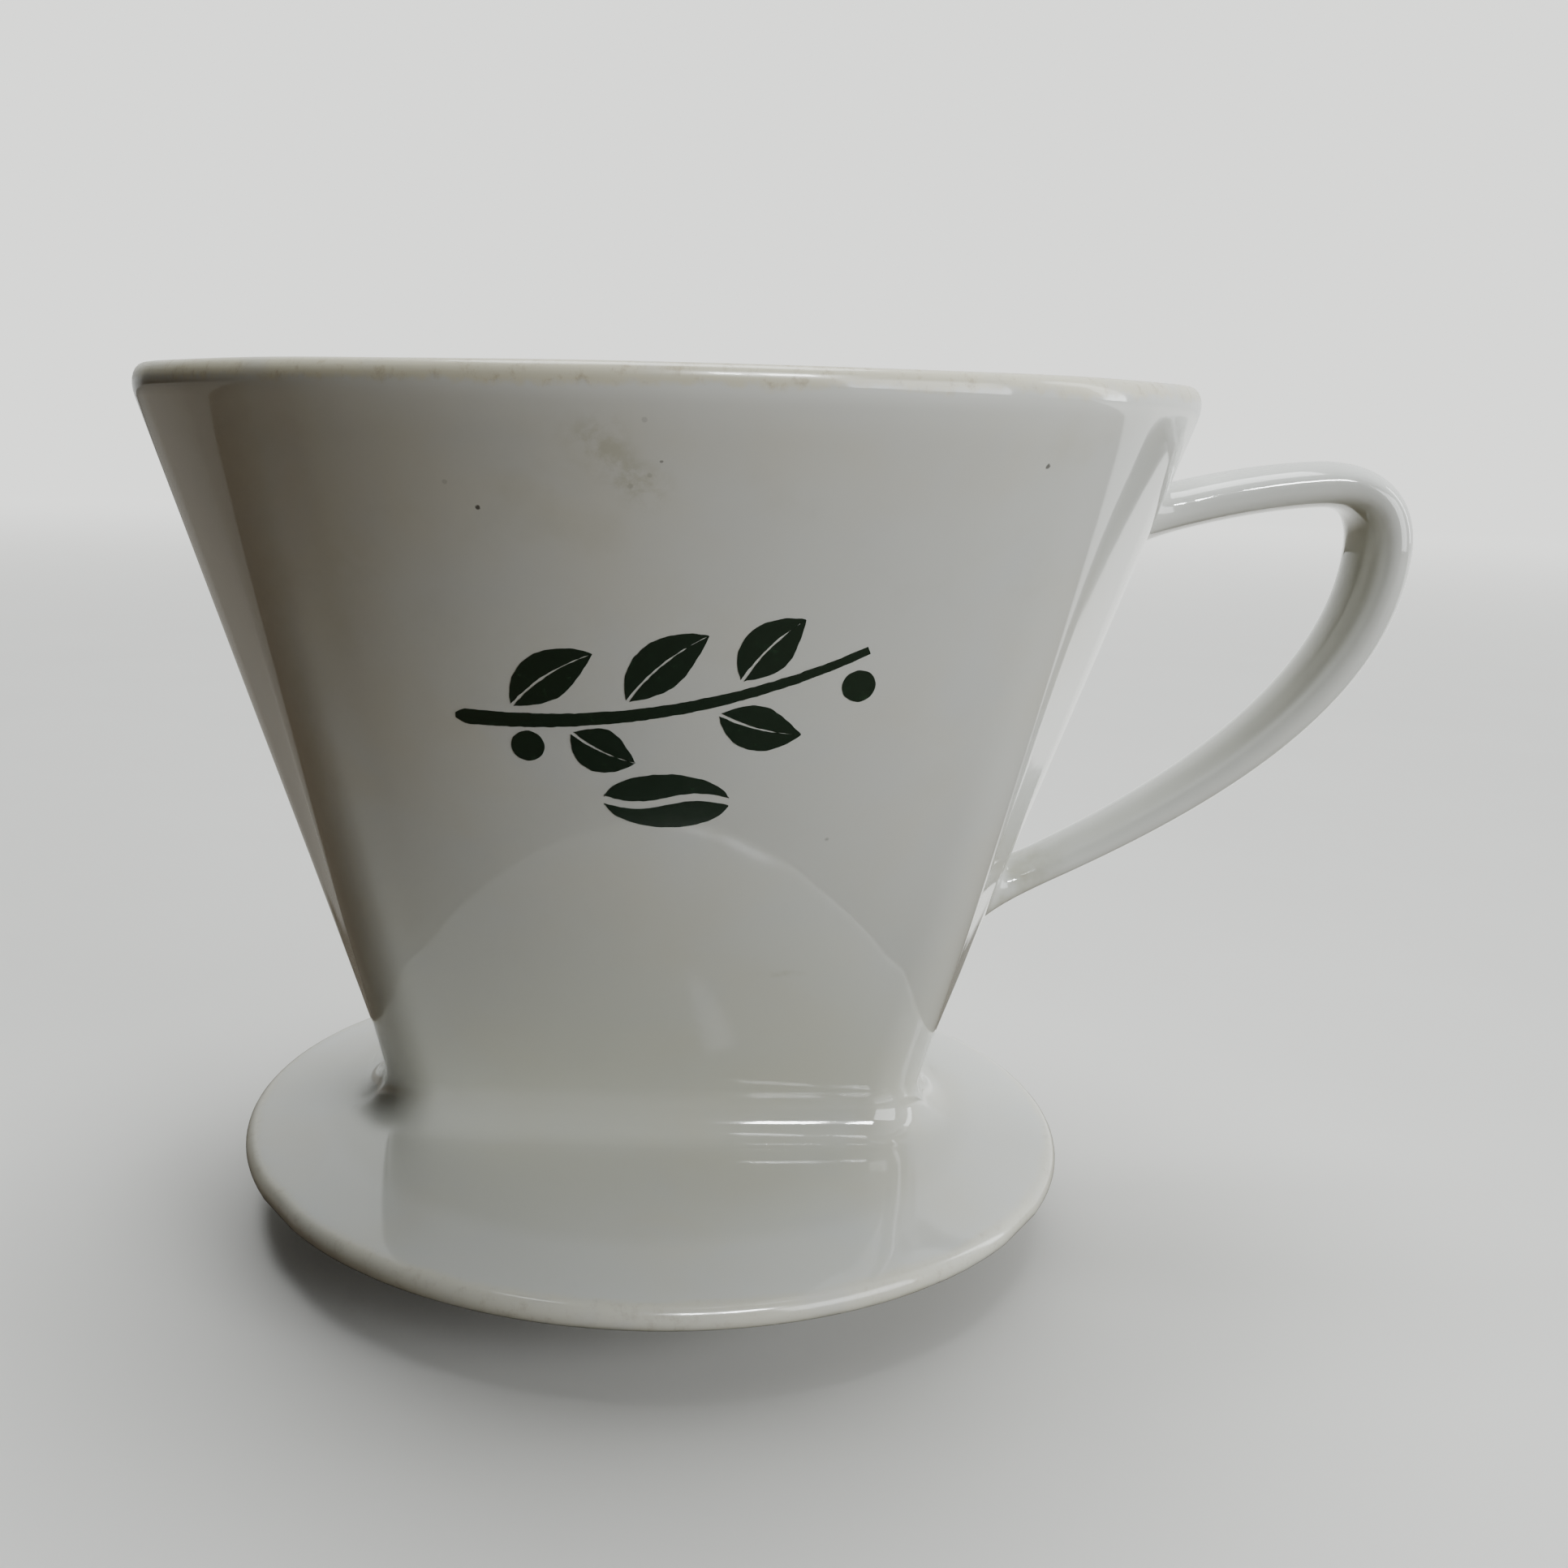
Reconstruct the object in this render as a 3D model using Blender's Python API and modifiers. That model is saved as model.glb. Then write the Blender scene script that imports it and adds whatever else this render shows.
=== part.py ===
"""Porcelain pour-over coffee dripper, as the pieces a potter joins before the piece is glazed and fired.

Frame: origin on the cone's axis, in the plane of the flange's underside that lies on the jug's rim.
+X points towards the handle, -Y is the printed front, and +Z is up.
Every length is in metres; MM turns millimetres into metres.
"""

import math

import bmesh
import bpy
from mathutils import Vector
from mathutils.geometry import interpolate_bezier

MM = 0.001
GAP = 0.3 * MM  # left between neighbouring pieces
WALL_GAP = 1.2 * GAP  # left around the cone, whose facets bulge a little between their rings
MERGE = 0.01 * MM  # distance under which a modifier welds points
SHARP_ANGLE = math.radians(40)  # an edge that bends more than this is shaded sharp

# Base: a round flange that lies on the jug's rim, and a ring under it that drops into the jug.
FLANGE_RADIUS = 52 * MM
FLANGE_EDGE_THICKNESS = 3 * MM
FLANGE_EDGE_START = 84  # degrees; where the flange's sloping top runs into its round edge
FLANGE_EDGE_STEPS = 6
FLANGE_LAND_TOP = 5 * MM  # flat middle of the flange, around the cone's foot
FLANGE_LAND_RADIUS = 38 * MM
FOOT_RADIUS = 34 * MM
FOOT_HEIGHT = 8 * MM  # below the flange's underside
FOOT_WALL = 4 * MM
FOOT_BEVEL_STEPS = 3
TURNED_STEPS = 64

# Cone: a narrow rounded rectangle at the foot, ruled up to a nearly round rim.
CONE_FOOT = (33.2 * MM, 11.2 * MM)  # half-width along X, half-depth along Y
CONE_RIM = (61.4 * MM, 61.4 * MM)
CORNER_RADIUS = 8.0 * MM
CORNER_RIM_ANGLE = math.radians(12)  # how much of the rim each of the four corners runs out into
CORNER_STEPS = 5
SIDE_RIM_HALF_ANGLE = math.radians(45) - CORNER_RIM_ANGLE / 2
WALL = 4.2 * MM
INNER_CORNER_RADIUS = 2 * MM
FLOOR_TOP = 4.5 * MM
LIP_RADIUS = 2 * MM
RIM_TOP = 95.5 * MM
LIP_START = RIM_TOP - LIP_RADIUS
LIP_STEPS = 6
WALL_STEPS = 5

# Ribs inside the cone keep the paper off the wall, so that air can leave.
RIBS_FRONT = 7
RIBS_SIDE = 3
RIB_HALF_WIDTH = 1.1 * MM
RIB_HEIGHT = 1.1 * MM
RIB_TOP = 74 * MM
RIB_FADE = 6 * MM
RIB_STEPS = 3

# Drain holes in the floor, in a row along X.
DRAIN_RADIUS = 1.8 * MM
DRAIN_SPACING = 11.5 * MM
DRAIN_COUNT = 4
DRAIN_SIDES = 20

# Fillet of slip where the cone stands on the flange.
FILLET_SIZE = 4.2 * MM
FILLET_STEPS = 4

# Handle: an oval strap whose centre line lies in the XZ plane.
# Each knot is its place and its two tangent points, in millimetres along X and Z.
HANDLE_KNOTS = (
    ((54.0, 78.8), (54.0, 78.8), (62.0, 82.2)),
    ((79.0, 84.7), (73.0, 84.3), (84.3, 85.0)),
    ((87.5, 76.5), (87.8, 82.8), (86.5, 57.8)),
    ((40.0, 32.4), (63.5, 43.2), (40.0, 32.4)),
)
HANDLE_HALF_THICKNESS = (2.4 * MM, 2.6 * MM, 3.1 * MM, 2.2 * MM)  # at the knots
HANDLE_STEPS = 12  # between two knots
STRAP_WIDTH_RATIO = 2.1  # width across Y over thickness
JOINT_FLARE = 1.1 * MM  # how far the strap thickens at the wall
JOINT_FLARE_LENGTH = 3 * MM
JOINT_LENGTH = 3 * MM  # of the slip collar, outside the wall

# Printed sprig on the front: a stem, leaves, two berries, and a bean under it.
PRINT_GAP = 0.1 * MM
PRINT_THICKNESS = 0.15 * MM
PRINT_SLOPE_STEP = 0.5 * MM  # step over which the cone's slope is measured under the print
HALVINGS = 30  # enough to find a point of the cone's front to a millionth of a millimetre
STEM_ENDS = ((-20.5 * MM, 61.5 * MM), (20 * MM, 69.5 * MM))
STEM_SAG = 2.6 * MM
STEM_HALF_WIDTH = 0.7 * MM
STEM_TAPER = (1.2, 0.6)  # the half-width's share at the thick and at the thin end
STEM_STEPS = 20
LEAF_HALF_WIDTH = 2.5 * MM
LEAF_TIP_HALF_WIDTH = 0.12 * MM
LEAF_FULLNESS = 0.8  # below 1 the leaf is fuller than a sine curve
LEAF_BEND = 0.3  # share of its angle that a leaf turns back towards the stem
LEAF_START = 0.06  # share of its length where a leaf starts, clear of the stem
LEAF_STEPS = 8
# Each leaf: place along the stem, angle from the stem in degrees, length.
LEAVES = (
    (0.13, 52, 10.5 * MM),
    (0.27, -46, 7.5 * MM),
    (0.41, 50, 11.0 * MM),
    (0.62, -44, 9.0 * MM),
    (0.69, 46, 9.0 * MM),
)
BERRIES = ((0.17, -2.9 * MM), (0.95, -3.2 * MM))  # place along the stem, offset from it
BERRY_RADIUS = 1.7 * MM
BERRY_STEPS = 8
BEAN_CENTRE = (0.8 * MM, 52.6 * MM)
BEAN_HALF_SIZE = (6.4 * MM, 3.2 * MM)
BEAN_CREASE = 0.45 * MM  # half the width of the bare crease between the bean's halves
BEAN_WAVE = 0.55 * MM  # how far the crease swings up and down
BEAN_TIP_HEIGHT = 0.15 * MM
BEAN_STEPS = 14
OVAL_END_ANGLE = 79  # degrees; rows across an oval stop short of its very ends


def lerp(a, b, t):
    return a + (b - a) * t


def new_collection(name):
    collection = bpy.data.collections.new(name)
    bpy.context.scene.collection.children.link(collection)
    return collection


def material(name, colour, roughness):
    made = bpy.data.materials.new(name)
    made.use_nodes = True
    shader = made.node_tree.nodes["Principled BSDF"]
    shader.inputs["Base Color"].default_value = (*colour, 1)
    shader.inputs["Roughness"].default_value = roughness
    shader.inputs["Metallic"].default_value = 0
    return made


def add_mesh(name, bm, collection, look=None):
    """Turns a bmesh into a smooth-shaded object."""
    bmesh.ops.recalc_face_normals(bm, faces=bm.faces)
    mesh = bpy.data.meshes.new(name)
    bm.to_mesh(mesh)
    bm.free()
    mesh.shade_smooth()
    mesh.set_sharp_from_angle(angle=SHARP_ANGLE)
    made = bpy.data.objects.new(name, mesh)
    collection.objects.link(made)
    if look:
        mesh.materials.append(look)
    return made


def as_cutter(made):
    made.hide_render = True
    made.display_type = "WIRE"
    return made


def cut(target, cutter):
    step = target.modifiers.new("cut_" + cutter.name, "BOOLEAN")
    step.operation = "DIFFERENCE"
    step.object = cutter
    step.solver = "EXACT"


def rib_stops(count, face_length):
    """Places across a face of the cone, from 0 to 1, each with how much of a rib stands there."""
    half = RIB_HALF_WIDTH / face_length
    stops = [(0.0, 0), (0.5 / (count + 1), 0)]
    for number in range(1, count + 1):
        middle = number / (count + 1)
        stops += [(middle - half, 0), (middle - half / 2, 1), (middle + half / 2, 1), (middle + half, 0)]
        stops.append(((number + 0.5) / (count + 1), 0))
    return stops + [(1.0, 0)]


def face_point(facing, size, corner, along):
    """A point on one straight side of the rounded rectangle; facing is the side's outward angle."""
    outward = Vector((math.cos(facing), math.sin(facing)))
    across = Vector((-outward.y, outward.x))
    reach = abs(outward.x) * size[0] + abs(outward.y) * size[1]
    half_length = abs(across.x) * size[0] + abs(across.y) * size[1] - corner
    return outward * reach + across * lerp(-half_length, half_length, along)


def corner_point(facing, size, corner, along):
    """A point on the rounded corner that follows the side facing that way."""
    middle = facing + math.radians(45)
    centre = Vector((
        math.copysign(size[0] - corner, math.cos(middle)),
        math.copysign(size[1] - corner, math.sin(middle)),
    ))
    angle = facing + math.radians(90) * along
    return centre + corner * Vector((math.cos(angle), math.sin(angle)))


def rim_point(size, angle):
    return Vector((size[0] * math.cos(angle), size[1] * math.sin(angle)))


def perimeter(foot, rim, corner):
    """Pairs of foot and rim points around the cone, each with its side's direction and its rib share."""
    pairs = []
    narrow, wide = (RIBS_SIDE, 2 * foot[1]), (RIBS_FRONT, 2 * foot[0])
    for side, (ribs, length) in enumerate((narrow, wide, narrow, wide)):
        facing = math.radians(90) * side
        outward = Vector((math.cos(facing), math.sin(facing)))
        for along, rib in rib_stops(ribs, length):
            angle = facing + lerp(-SIDE_RIM_HALF_ANGLE, SIDE_RIM_HALF_ANGLE, along)
            pairs.append((face_point(facing, foot, corner, along), rim_point(rim, angle), outward, rib))
        for step in range(1, CORNER_STEPS):
            share = step / CORNER_STEPS
            angle = facing + SIDE_RIM_HALF_ANGLE + share * CORNER_RIM_ANGLE
            pairs.append((corner_point(facing, foot, corner, share), rim_point(rim, angle), outward, 0))
    return pairs


def ring_at(pairs, z, rib_height=0.0):
    """The cone's section at height z as 3D points, with ribs standing inwards by rib_height."""
    share = max(0.0, (z - FLOOR_TOP) / (LIP_START - FLOOR_TOP))
    ring = []
    for foot, rim, outward, rib in pairs:
        point = lerp(foot, rim, share) - outward * rib_height * rib
        ring.append(Vector((point.x, point.y, z)))
    return ring


def loft(bm, rings, capped=True):
    """Quads between rings of equal length, and a face over the first and the last ring."""
    rows = [[bm.verts.new(point) for point in ring] for ring in rings]
    count = len(rows[0])
    for low, high in zip(rows, rows[1:]):
        for i in range(count):
            j = (i + 1) % count
            bm.faces.new((low[i], low[j], high[j], high[i]))
    if capped:
        bm.faces.new(rows[0])
        bm.faces.new(rows[-1])
    return rows


def shrunk(size, by):
    return (size[0] - by, size[1] - by)


def outer_pairs(clearance=0.0):
    return perimeter(shrunk(CONE_FOOT, -clearance), shrunk(CONE_RIM, -clearance), CORNER_RADIUS + clearance)


def inner_pairs():
    return perimeter(shrunk(CONE_FOOT, WALL), shrunk(CONE_RIM, 2 * LIP_RADIUS), INNER_CORNER_RADIUS)


def rib_height_at(z):
    return RIB_HEIGHT * min(1.0, max(0.0, (RIB_TOP - z) / RIB_FADE))


def wall_heights():
    return [lerp(FLOOR_TOP, LIP_START, step / WALL_STEPS) for step in range(WALL_STEPS + 1)]


def cone_rings():
    """Rings from the underside, up the outside, over the lip and down the ribbed inside to the floor."""
    outside = outer_pairs()
    inside = inner_pairs()
    rings = [ring_at(outside, 0)]
    rings += [ring_at(outside, z) for z in wall_heights()]
    for step in range(1, LIP_STEPS):
        turn = math.pi * step / LIP_STEPS
        rise = Vector((0, 0, LIP_RADIUS * math.sin(turn)))
        share = (1 - math.cos(turn)) / 2
        pairs = zip(ring_at(outside, LIP_START), ring_at(inside, LIP_START))
        rings.append([lerp(outer, inner, share) + rise for outer, inner in pairs])
    heights = [LIP_START, RIB_TOP, RIB_TOP - RIB_FADE]
    heights += [lerp(RIB_TOP - RIB_FADE, FLOOR_TOP, step / RIB_STEPS) for step in range(1, RIB_STEPS + 1)]
    rings += [ring_at(inside, z, rib_height_at(z)) for z in heights]
    return rings


def make_filter_cone(parts, cutters, look):
    bm = bmesh.new()
    loft(bm, cone_rings())
    cone = add_mesh("filter_cone", bm, parts, look)
    for number in range(DRAIN_COUNT):
        place = (number - (DRAIN_COUNT - 1) / 2) * DRAIN_SPACING
        bm = bmesh.new()
        bmesh.ops.create_cone(
            bm,
            cap_ends=True,
            segments=DRAIN_SIDES,
            radius1=DRAIN_RADIUS,
            radius2=DRAIN_RADIUS,
            depth=4 * FLOOR_TOP,
        )
        drill = as_cutter(add_mesh(f"drain_drill_{number + 1}", bm, cutters))
        drill.location.x = place
        cut(cone, drill)


def turned(name, profile, parts, look):
    """A closed profile of (radius, height) points turned about Z."""
    mesh = bpy.data.meshes.new(name)
    points = [(radius, 0, height) for radius, height in profile]
    edges = [(i, (i + 1) % len(points)) for i in range(len(points))]
    mesh.from_pydata(points, edges, [])
    mesh.materials.append(look)
    made = bpy.data.objects.new(name, mesh)
    parts.objects.link(made)
    screw = made.modifiers.new("turn", "SCREW")
    screw.axis = "Z"
    screw.steps = TURNED_STEPS
    screw.render_steps = TURNED_STEPS
    screw.use_merge_vertices = True
    screw.merge_threshold = MERGE
    screw.use_smooth_shade = True
    return made


def arc(centre, radius, start, end, steps):
    """Points of (radius, height) on an arc, angles in degrees from the outward direction."""
    angles = [math.radians(lerp(start, end, step / steps)) for step in range(steps + 1)]
    return [(centre[0] + radius * math.cos(a), centre[1] + radius * math.sin(a)) for a in angles]


def make_base_flange(parts, cutters, look):
    edge = FLANGE_EDGE_THICKNESS / 2
    inner = CONE_FOOT[1] / 2
    profile = [(inner, FLANGE_LAND_TOP), (FLANGE_LAND_RADIUS, FLANGE_LAND_TOP)]
    profile += arc((FLANGE_RADIUS - edge, edge), edge, FLANGE_EDGE_START, -90, FLANGE_EDGE_STEPS)
    profile.append((inner, 0))
    flange = turned("base_flange", profile, parts, look)
    bm = bmesh.new()
    foot = outer_pairs(GAP)
    loft(bm, [ring_at(foot, z) for z in (-FLOOR_TOP, FLOOR_TOP, 2 * FLOOR_TOP)])
    cut(flange, as_cutter(add_mesh("cone_seat", bm, cutters)))


def make_foot_ring(parts, look):
    bevel = FOOT_WALL / 4
    outer = FOOT_RADIUS
    inner = FOOT_RADIUS - FOOT_WALL
    profile = [(inner, -GAP), (outer, -GAP)]
    profile += arc((outer - bevel, bevel - FOOT_HEIGHT), bevel, 0, -90, FOOT_BEVEL_STEPS)
    profile += arc((inner + bevel, bevel - FOOT_HEIGHT), bevel, -90, -180, FOOT_BEVEL_STEPS)
    turned("foot_ring", profile, parts, look)


def make_base_fillet(parts, look):
    """A ring with a hollow face, from the flange's land up the cone's wall."""
    low = FLANGE_LAND_TOP + GAP
    wall = outer_pairs(WALL_GAP)
    section = []
    for step in range(FILLET_STEPS + 1):
        turn = math.radians(90) * step / FILLET_STEPS
        section.append((FILLET_SIZE * (1 - math.sin(turn)), FILLET_SIZE * (1 - math.cos(turn))))
    rings = []
    for stand_off, rise in [(0, 0)] + section:
        ring = []
        at_height = ring_at(wall, low + rise)
        count = len(at_height)
        for i, point in enumerate(at_height):
            tangent = at_height[(i + 1) % count] - at_height[i - 1]
            outward = Vector((tangent.y, -tangent.x, 0)).normalized()
            ring.append(point + outward * stand_off)
        rings.append(ring)
    bm = bmesh.new()
    rows = loft(bm, rings, capped=False)
    count = len(rows[0])
    for i in range(count):
        j = (i + 1) % count
        bm.faces.new((rows[-1][i], rows[-1][j], rows[0][j], rows[0][i]))
    add_mesh("base_fillet", bm, parts, look)


def handle_path():
    """The strap's centre line as (point, half-thickness), evenly spaced along each stretch."""
    path = []
    stretches = zip(HANDLE_KNOTS, HANDLE_KNOTS[1:])
    thicknesses = zip(HANDLE_HALF_THICKNESS, HANDLE_HALF_THICKNESS[1:])
    for (start, end), (first, second) in zip(stretches, thicknesses):
        ends = [Vector((x * MM, 0, z * MM)) for x, z in (start[0], start[2], end[1], end[0])]
        points = interpolate_bezier(*ends, HANDLE_STEPS + 1)
        for step, point in enumerate(points[:-1]):
            path.append((point, lerp(first, second, step / HANDLE_STEPS)))
    path.append((points[-1], HANDLE_HALF_THICKNESS[-1]))
    return path


def wall_distance(point):
    """How far a point in the XZ plane stands outside the cone's wall."""
    share = (point.z - FLOOR_TOP) / (LIP_START - FLOOR_TOP)
    slope = (CONE_RIM[0] - CONE_FOOT[0]) / (LIP_START - FLOOR_TOP)
    return (point.x - lerp(CONE_FOOT[0], CONE_RIM[0], share)) / math.hypot(1, slope)


def flared(distance, thickness):
    return thickness + JOINT_FLARE * math.exp(-max(0.0, distance) / JOINT_FLARE_LENGTH)


def strap(name, stations, parts, look):
    """A poly curve with a round bevel, widened across Y into an oval strap, turned into a mesh."""
    curve = bpy.data.curves.new(name, "CURVE")
    curve.dimensions = "3D"
    curve.bevel_depth = 1.0
    curve.bevel_resolution = 3
    curve.use_fill_caps = True
    spline = curve.splines.new("POLY")
    spline.points.add(len(stations) - 1)
    for spot, (point, half_thickness) in zip(spline.points, stations):
        spot.co = (*point, 1)
        spot.radius = half_thickness
    swept = bpy.data.objects.new(name + "_curve", curve)
    parts.objects.link(swept)
    swept.scale.y = STRAP_WIDTH_RATIO
    bpy.context.view_layer.update()
    graph = bpy.context.evaluated_depsgraph_get()
    mesh = bpy.data.meshes.new_from_object(swept.evaluated_get(graph))
    mesh.transform(swept.matrix_world)
    bpy.data.objects.remove(swept)
    bm = bmesh.new()
    bm.from_mesh(mesh)
    bpy.data.meshes.remove(mesh)
    bmesh.ops.remove_doubles(bm, verts=bm.verts, dist=MERGE)
    return add_mesh(name, bm, parts, look)


def make_handle(parts, cutters, look, joint_look):
    """The strap outside both joints, and at each end a collar of slip cut to the cone's wall."""
    path = handle_path()
    outside = [i for i, (point, _) in enumerate(path) if wall_distance(point) > JOINT_LENGTH]
    first, last = outside[0], outside[-1]
    stations = [(point, flared(wall_distance(point), thickness)) for point, thickness in path]
    strap("handle", stations[first:last + 1], parts, look)
    bm = bmesh.new()
    clear = outer_pairs(WALL_GAP)
    loft(bm, [ring_at(clear, z) for z in wall_heights()])
    wall = as_cutter(add_mesh("cone_clearance", bm, cutters))
    collars = {
        "upper_handle_joint": stations[:first + 1],
        "lower_handle_joint": stations[last:][::-1],
    }
    for name, stretch in collars.items():
        stop, thickness = stretch[-1]
        back = (stretch[-2][0] - stop).normalized()
        stretch = stretch[:-1] + [(stop + back * GAP, thickness)]
        cut(strap(name, stretch, parts, joint_look), wall)


def front_face(x, z):
    """The point of the cone's front at the given x and z, found by halving the stretch across the face."""
    share = (z - FLOOR_TOP) / (LIP_START - FLOOR_TOP)
    half_length = CONE_FOOT[0] - CORNER_RADIUS
    low, high = 0.0, 1.0
    for _ in range(HALVINGS):
        along = (low + high) / 2
        angle = lerp(-SIDE_RIM_HALF_ANGLE, SIDE_RIM_HALF_ANGLE, along)
        if lerp(lerp(-half_length, half_length, along), CONE_RIM[0] * math.sin(angle), share) < x:
            low = along
        else:
            high = along
    y = -lerp(CONE_FOOT[1], CONE_RIM[1] * math.cos(angle), share)
    return Vector((x, y, z))


def printed(name, rows, parts, look):
    """A thin layer on the cone's front, from rows of (x, z) points that each have the same length."""
    bm = bmesh.new()
    step = PRINT_SLOPE_STEP
    layers = []
    for stand_off in (PRINT_GAP, PRINT_GAP + PRINT_THICKNESS):
        layer = []
        for row in rows:
            line = []
            for x, z in row:
                here = front_face(x, z)
                across = front_face(x + step, z) - here
                up = front_face(x, z + step) - here
                line.append(bm.verts.new(here + across.cross(up).normalized() * stand_off))
            layer.append(line)
        layers.append(layer)
    for layer in layers:
        for one, two in zip(layer, layer[1:]):
            for i in range(len(one) - 1):
                bm.faces.new((one[i], one[i + 1], two[i + 1], two[i]))
    inner, outer = [outline(layer) for layer in layers]
    for i in range(len(inner)):
        j = (i + 1) % len(inner)
        bm.faces.new((inner[i], inner[j], outer[j], outer[i]))
    add_mesh(name, bm, parts, look)


def outline(layer):
    """The points round the edge of a grid, in order."""
    last_column = [row[-1] for row in layer[1:-1]]
    first_column = [row[0] for row in layer[1:-1]]
    return layer[0] + last_column + layer[-1][::-1] + first_column[::-1]


def stem_point(along):
    """A point on the printed stem, and the stem's direction there."""
    start, end = Vector(STEM_ENDS[0]), Vector(STEM_ENDS[1])
    chord = end - start
    normal = Vector((-chord.y, chord.x)).normalized()
    point = start + chord * along - normal * STEM_SAG * 4 * along * (1 - along)
    direction = chord - normal * STEM_SAG * 4 * (1 - 2 * along)
    return point, direction.normalized()


def ribbon(centres, half_widths):
    """Rows of three points across a bent strip."""
    rows = []
    for i, centre in enumerate(centres):
        ahead = centres[min(i + 1, len(centres) - 1)]
        behind = centres[max(i - 1, 0)]
        along = (ahead - behind).normalized()
        side = Vector((-along.y, along.x)) * half_widths[i]
        rows.append([tuple(centre - side), tuple(centre), tuple(centre + side)])
    return rows


def leaf_rows(place, angle, length):
    """A pointed leaf that leaves the stem at an angle and bends a little back towards it."""
    root, direction = stem_point(place)
    side = math.copysign(1, angle)
    root = root + Vector((-direction.y, direction.x)) * side * (STEM_HALF_WIDTH * STEM_TAPER[0] + GAP)
    centres = []
    widths = []
    for step in range(LEAF_STEPS + 1):
        share = step / LEAF_STEPS
        bend = math.radians(angle) * (1 - LEAF_BEND * share)
        heading = Vector((
            direction.x * math.cos(bend) - direction.y * math.sin(bend),
            direction.x * math.sin(bend) + direction.y * math.cos(bend),
        ))
        centres.append(root + heading * length * lerp(LEAF_START, 1, share))
        width = LEAF_HALF_WIDTH * math.sin(math.pi * share) ** LEAF_FULLNESS
        widths.append(max(LEAF_TIP_HALF_WIDTH, width))
    return ribbon(centres, widths)


def berry_rows(centre):
    """Rows across a round berry, from its lowest to its highest."""
    rows = []
    for step in range(BERRY_STEPS + 1):
        angle = math.radians(lerp(-OVAL_END_ANGLE, OVAL_END_ANGLE, step / BERRY_STEPS))
        reach = math.cos(angle) * BERRY_RADIUS
        z = centre[1] + math.sin(angle) * BERRY_RADIUS
        rows.append([(centre[0] - reach, z), (centre[0], z), (centre[0] + reach, z)])
    return rows


def bean_rows(side):
    """Columns across one half of a lying coffee bean, above (side 1) or below (side -1) a wavy crease."""
    rows = []
    for step in range(BEAN_STEPS + 1):
        angle = math.radians(lerp(-OVAL_END_ANGLE, OVAL_END_ANGLE, step / BEAN_STEPS))
        x = BEAN_CENTRE[0] + math.sin(angle) * BEAN_HALF_SIZE[0]
        near = BEAN_WAVE * math.sin(math.pi * math.sin(angle)) + side * BEAN_CREASE
        far = side * max(math.cos(angle) * BEAN_HALF_SIZE[1], abs(near) + BEAN_TIP_HEIGHT)
        rows.append([(x, BEAN_CENTRE[1] + lerp(near, far, share)) for share in (0, 0.5, 1)])
    return rows


def make_print(parts, look):
    shares = [step / STEM_STEPS for step in range(STEM_STEPS + 1)]
    centres = [stem_point(share)[0] for share in shares]
    widths = [STEM_HALF_WIDTH * lerp(*STEM_TAPER, share) for share in shares]
    printed("printed_stem", ribbon(centres, widths), parts, look)
    for number, leaf in enumerate(LEAVES):
        printed(f"printed_leaf_{number + 1}", leaf_rows(*leaf), parts, look)
    for number, (place, offset) in enumerate(BERRIES):
        point, direction = stem_point(place)
        centre = point + Vector((-direction.y, direction.x)) * offset
        printed(f"printed_berry_{number + 1}", berry_rows(centre), parts, look)
    printed("printed_bean_upper", bean_rows(1), parts, look)
    printed("printed_bean_lower", bean_rows(-1), parts, look)


def main():
    for old in list(bpy.data.objects):
        bpy.data.objects.remove(old)
    parts = new_collection("pour_over_dripper")
    cutters = new_collection("cutters")
    glaze = material("white_glaze", (0.80, 0.80, 0.77), 0.12)
    slip = material("glazed_slip", (0.79, 0.79, 0.75), 0.15)
    ink = material("green_print", (0.02, 0.07, 0.035), 0.2)
    make_filter_cone(parts, cutters, glaze)
    make_base_flange(parts, cutters, glaze)
    make_foot_ring(parts, glaze)
    make_base_fillet(parts, slip)
    make_handle(parts, cutters, glaze, slip)
    make_print(parts, ink)


main()
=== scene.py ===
"""Looks of the porcelain pour-over dripper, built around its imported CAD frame.

The glaze runs over every joint of the fired object, so the cone, fillet, flange and foot ring show as one
skin, and the handle with its two joints as another that melts into it. The print lies on the skin.
"""

import math

import bmesh
import bpy
from mathutils import Matrix, Vector, noise
from mathutils.bvhtree import BVHTree
from mathutils.geometry import interpolate_bezier


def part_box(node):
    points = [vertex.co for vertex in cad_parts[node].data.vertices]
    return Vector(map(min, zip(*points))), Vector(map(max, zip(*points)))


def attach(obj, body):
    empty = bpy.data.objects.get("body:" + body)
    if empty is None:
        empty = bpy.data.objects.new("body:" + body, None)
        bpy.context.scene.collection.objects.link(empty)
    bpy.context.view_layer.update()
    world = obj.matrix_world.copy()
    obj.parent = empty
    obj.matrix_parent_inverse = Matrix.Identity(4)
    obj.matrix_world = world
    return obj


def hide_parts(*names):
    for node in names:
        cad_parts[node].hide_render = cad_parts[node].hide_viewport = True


MM = 0.001
UP = Vector((0, 0, 1))

# The cone: its foot and rim come from the frame, and these say how they join.
CORNER_RADIUS = 8 * MM
CORNER_RIM_ANGLE = math.radians(12)
SIDE_RIM_HALF_ANGLE = math.radians(45) - CORNER_RIM_ANGLE / 2
FLOOR_TOP = 4.5 * MM
WALL = 4.2 * MM
RIM_WALL = 4 * MM
LIP_STRETCH = 1.6  # the lip's section is an ellipse, this many times longer up the wall than across it
INNER_CORNER_RADIUS = 2 * MM
FLOOR_FILLET = 1.5 * MM
FILLET_RADIUS = 4.2 * MM
FLANGE_EDGE_RADIUS = 1.5 * MM
FLANGE_EDGE_ANGLE = math.radians(79)  # where the flange's round edge runs into its sloping top
FLANGE_LAND_RADIUS = 30 * MM
FOOT_WALL = 4 * MM
FOOT_ROUNDING = 1.2 * MM
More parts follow.
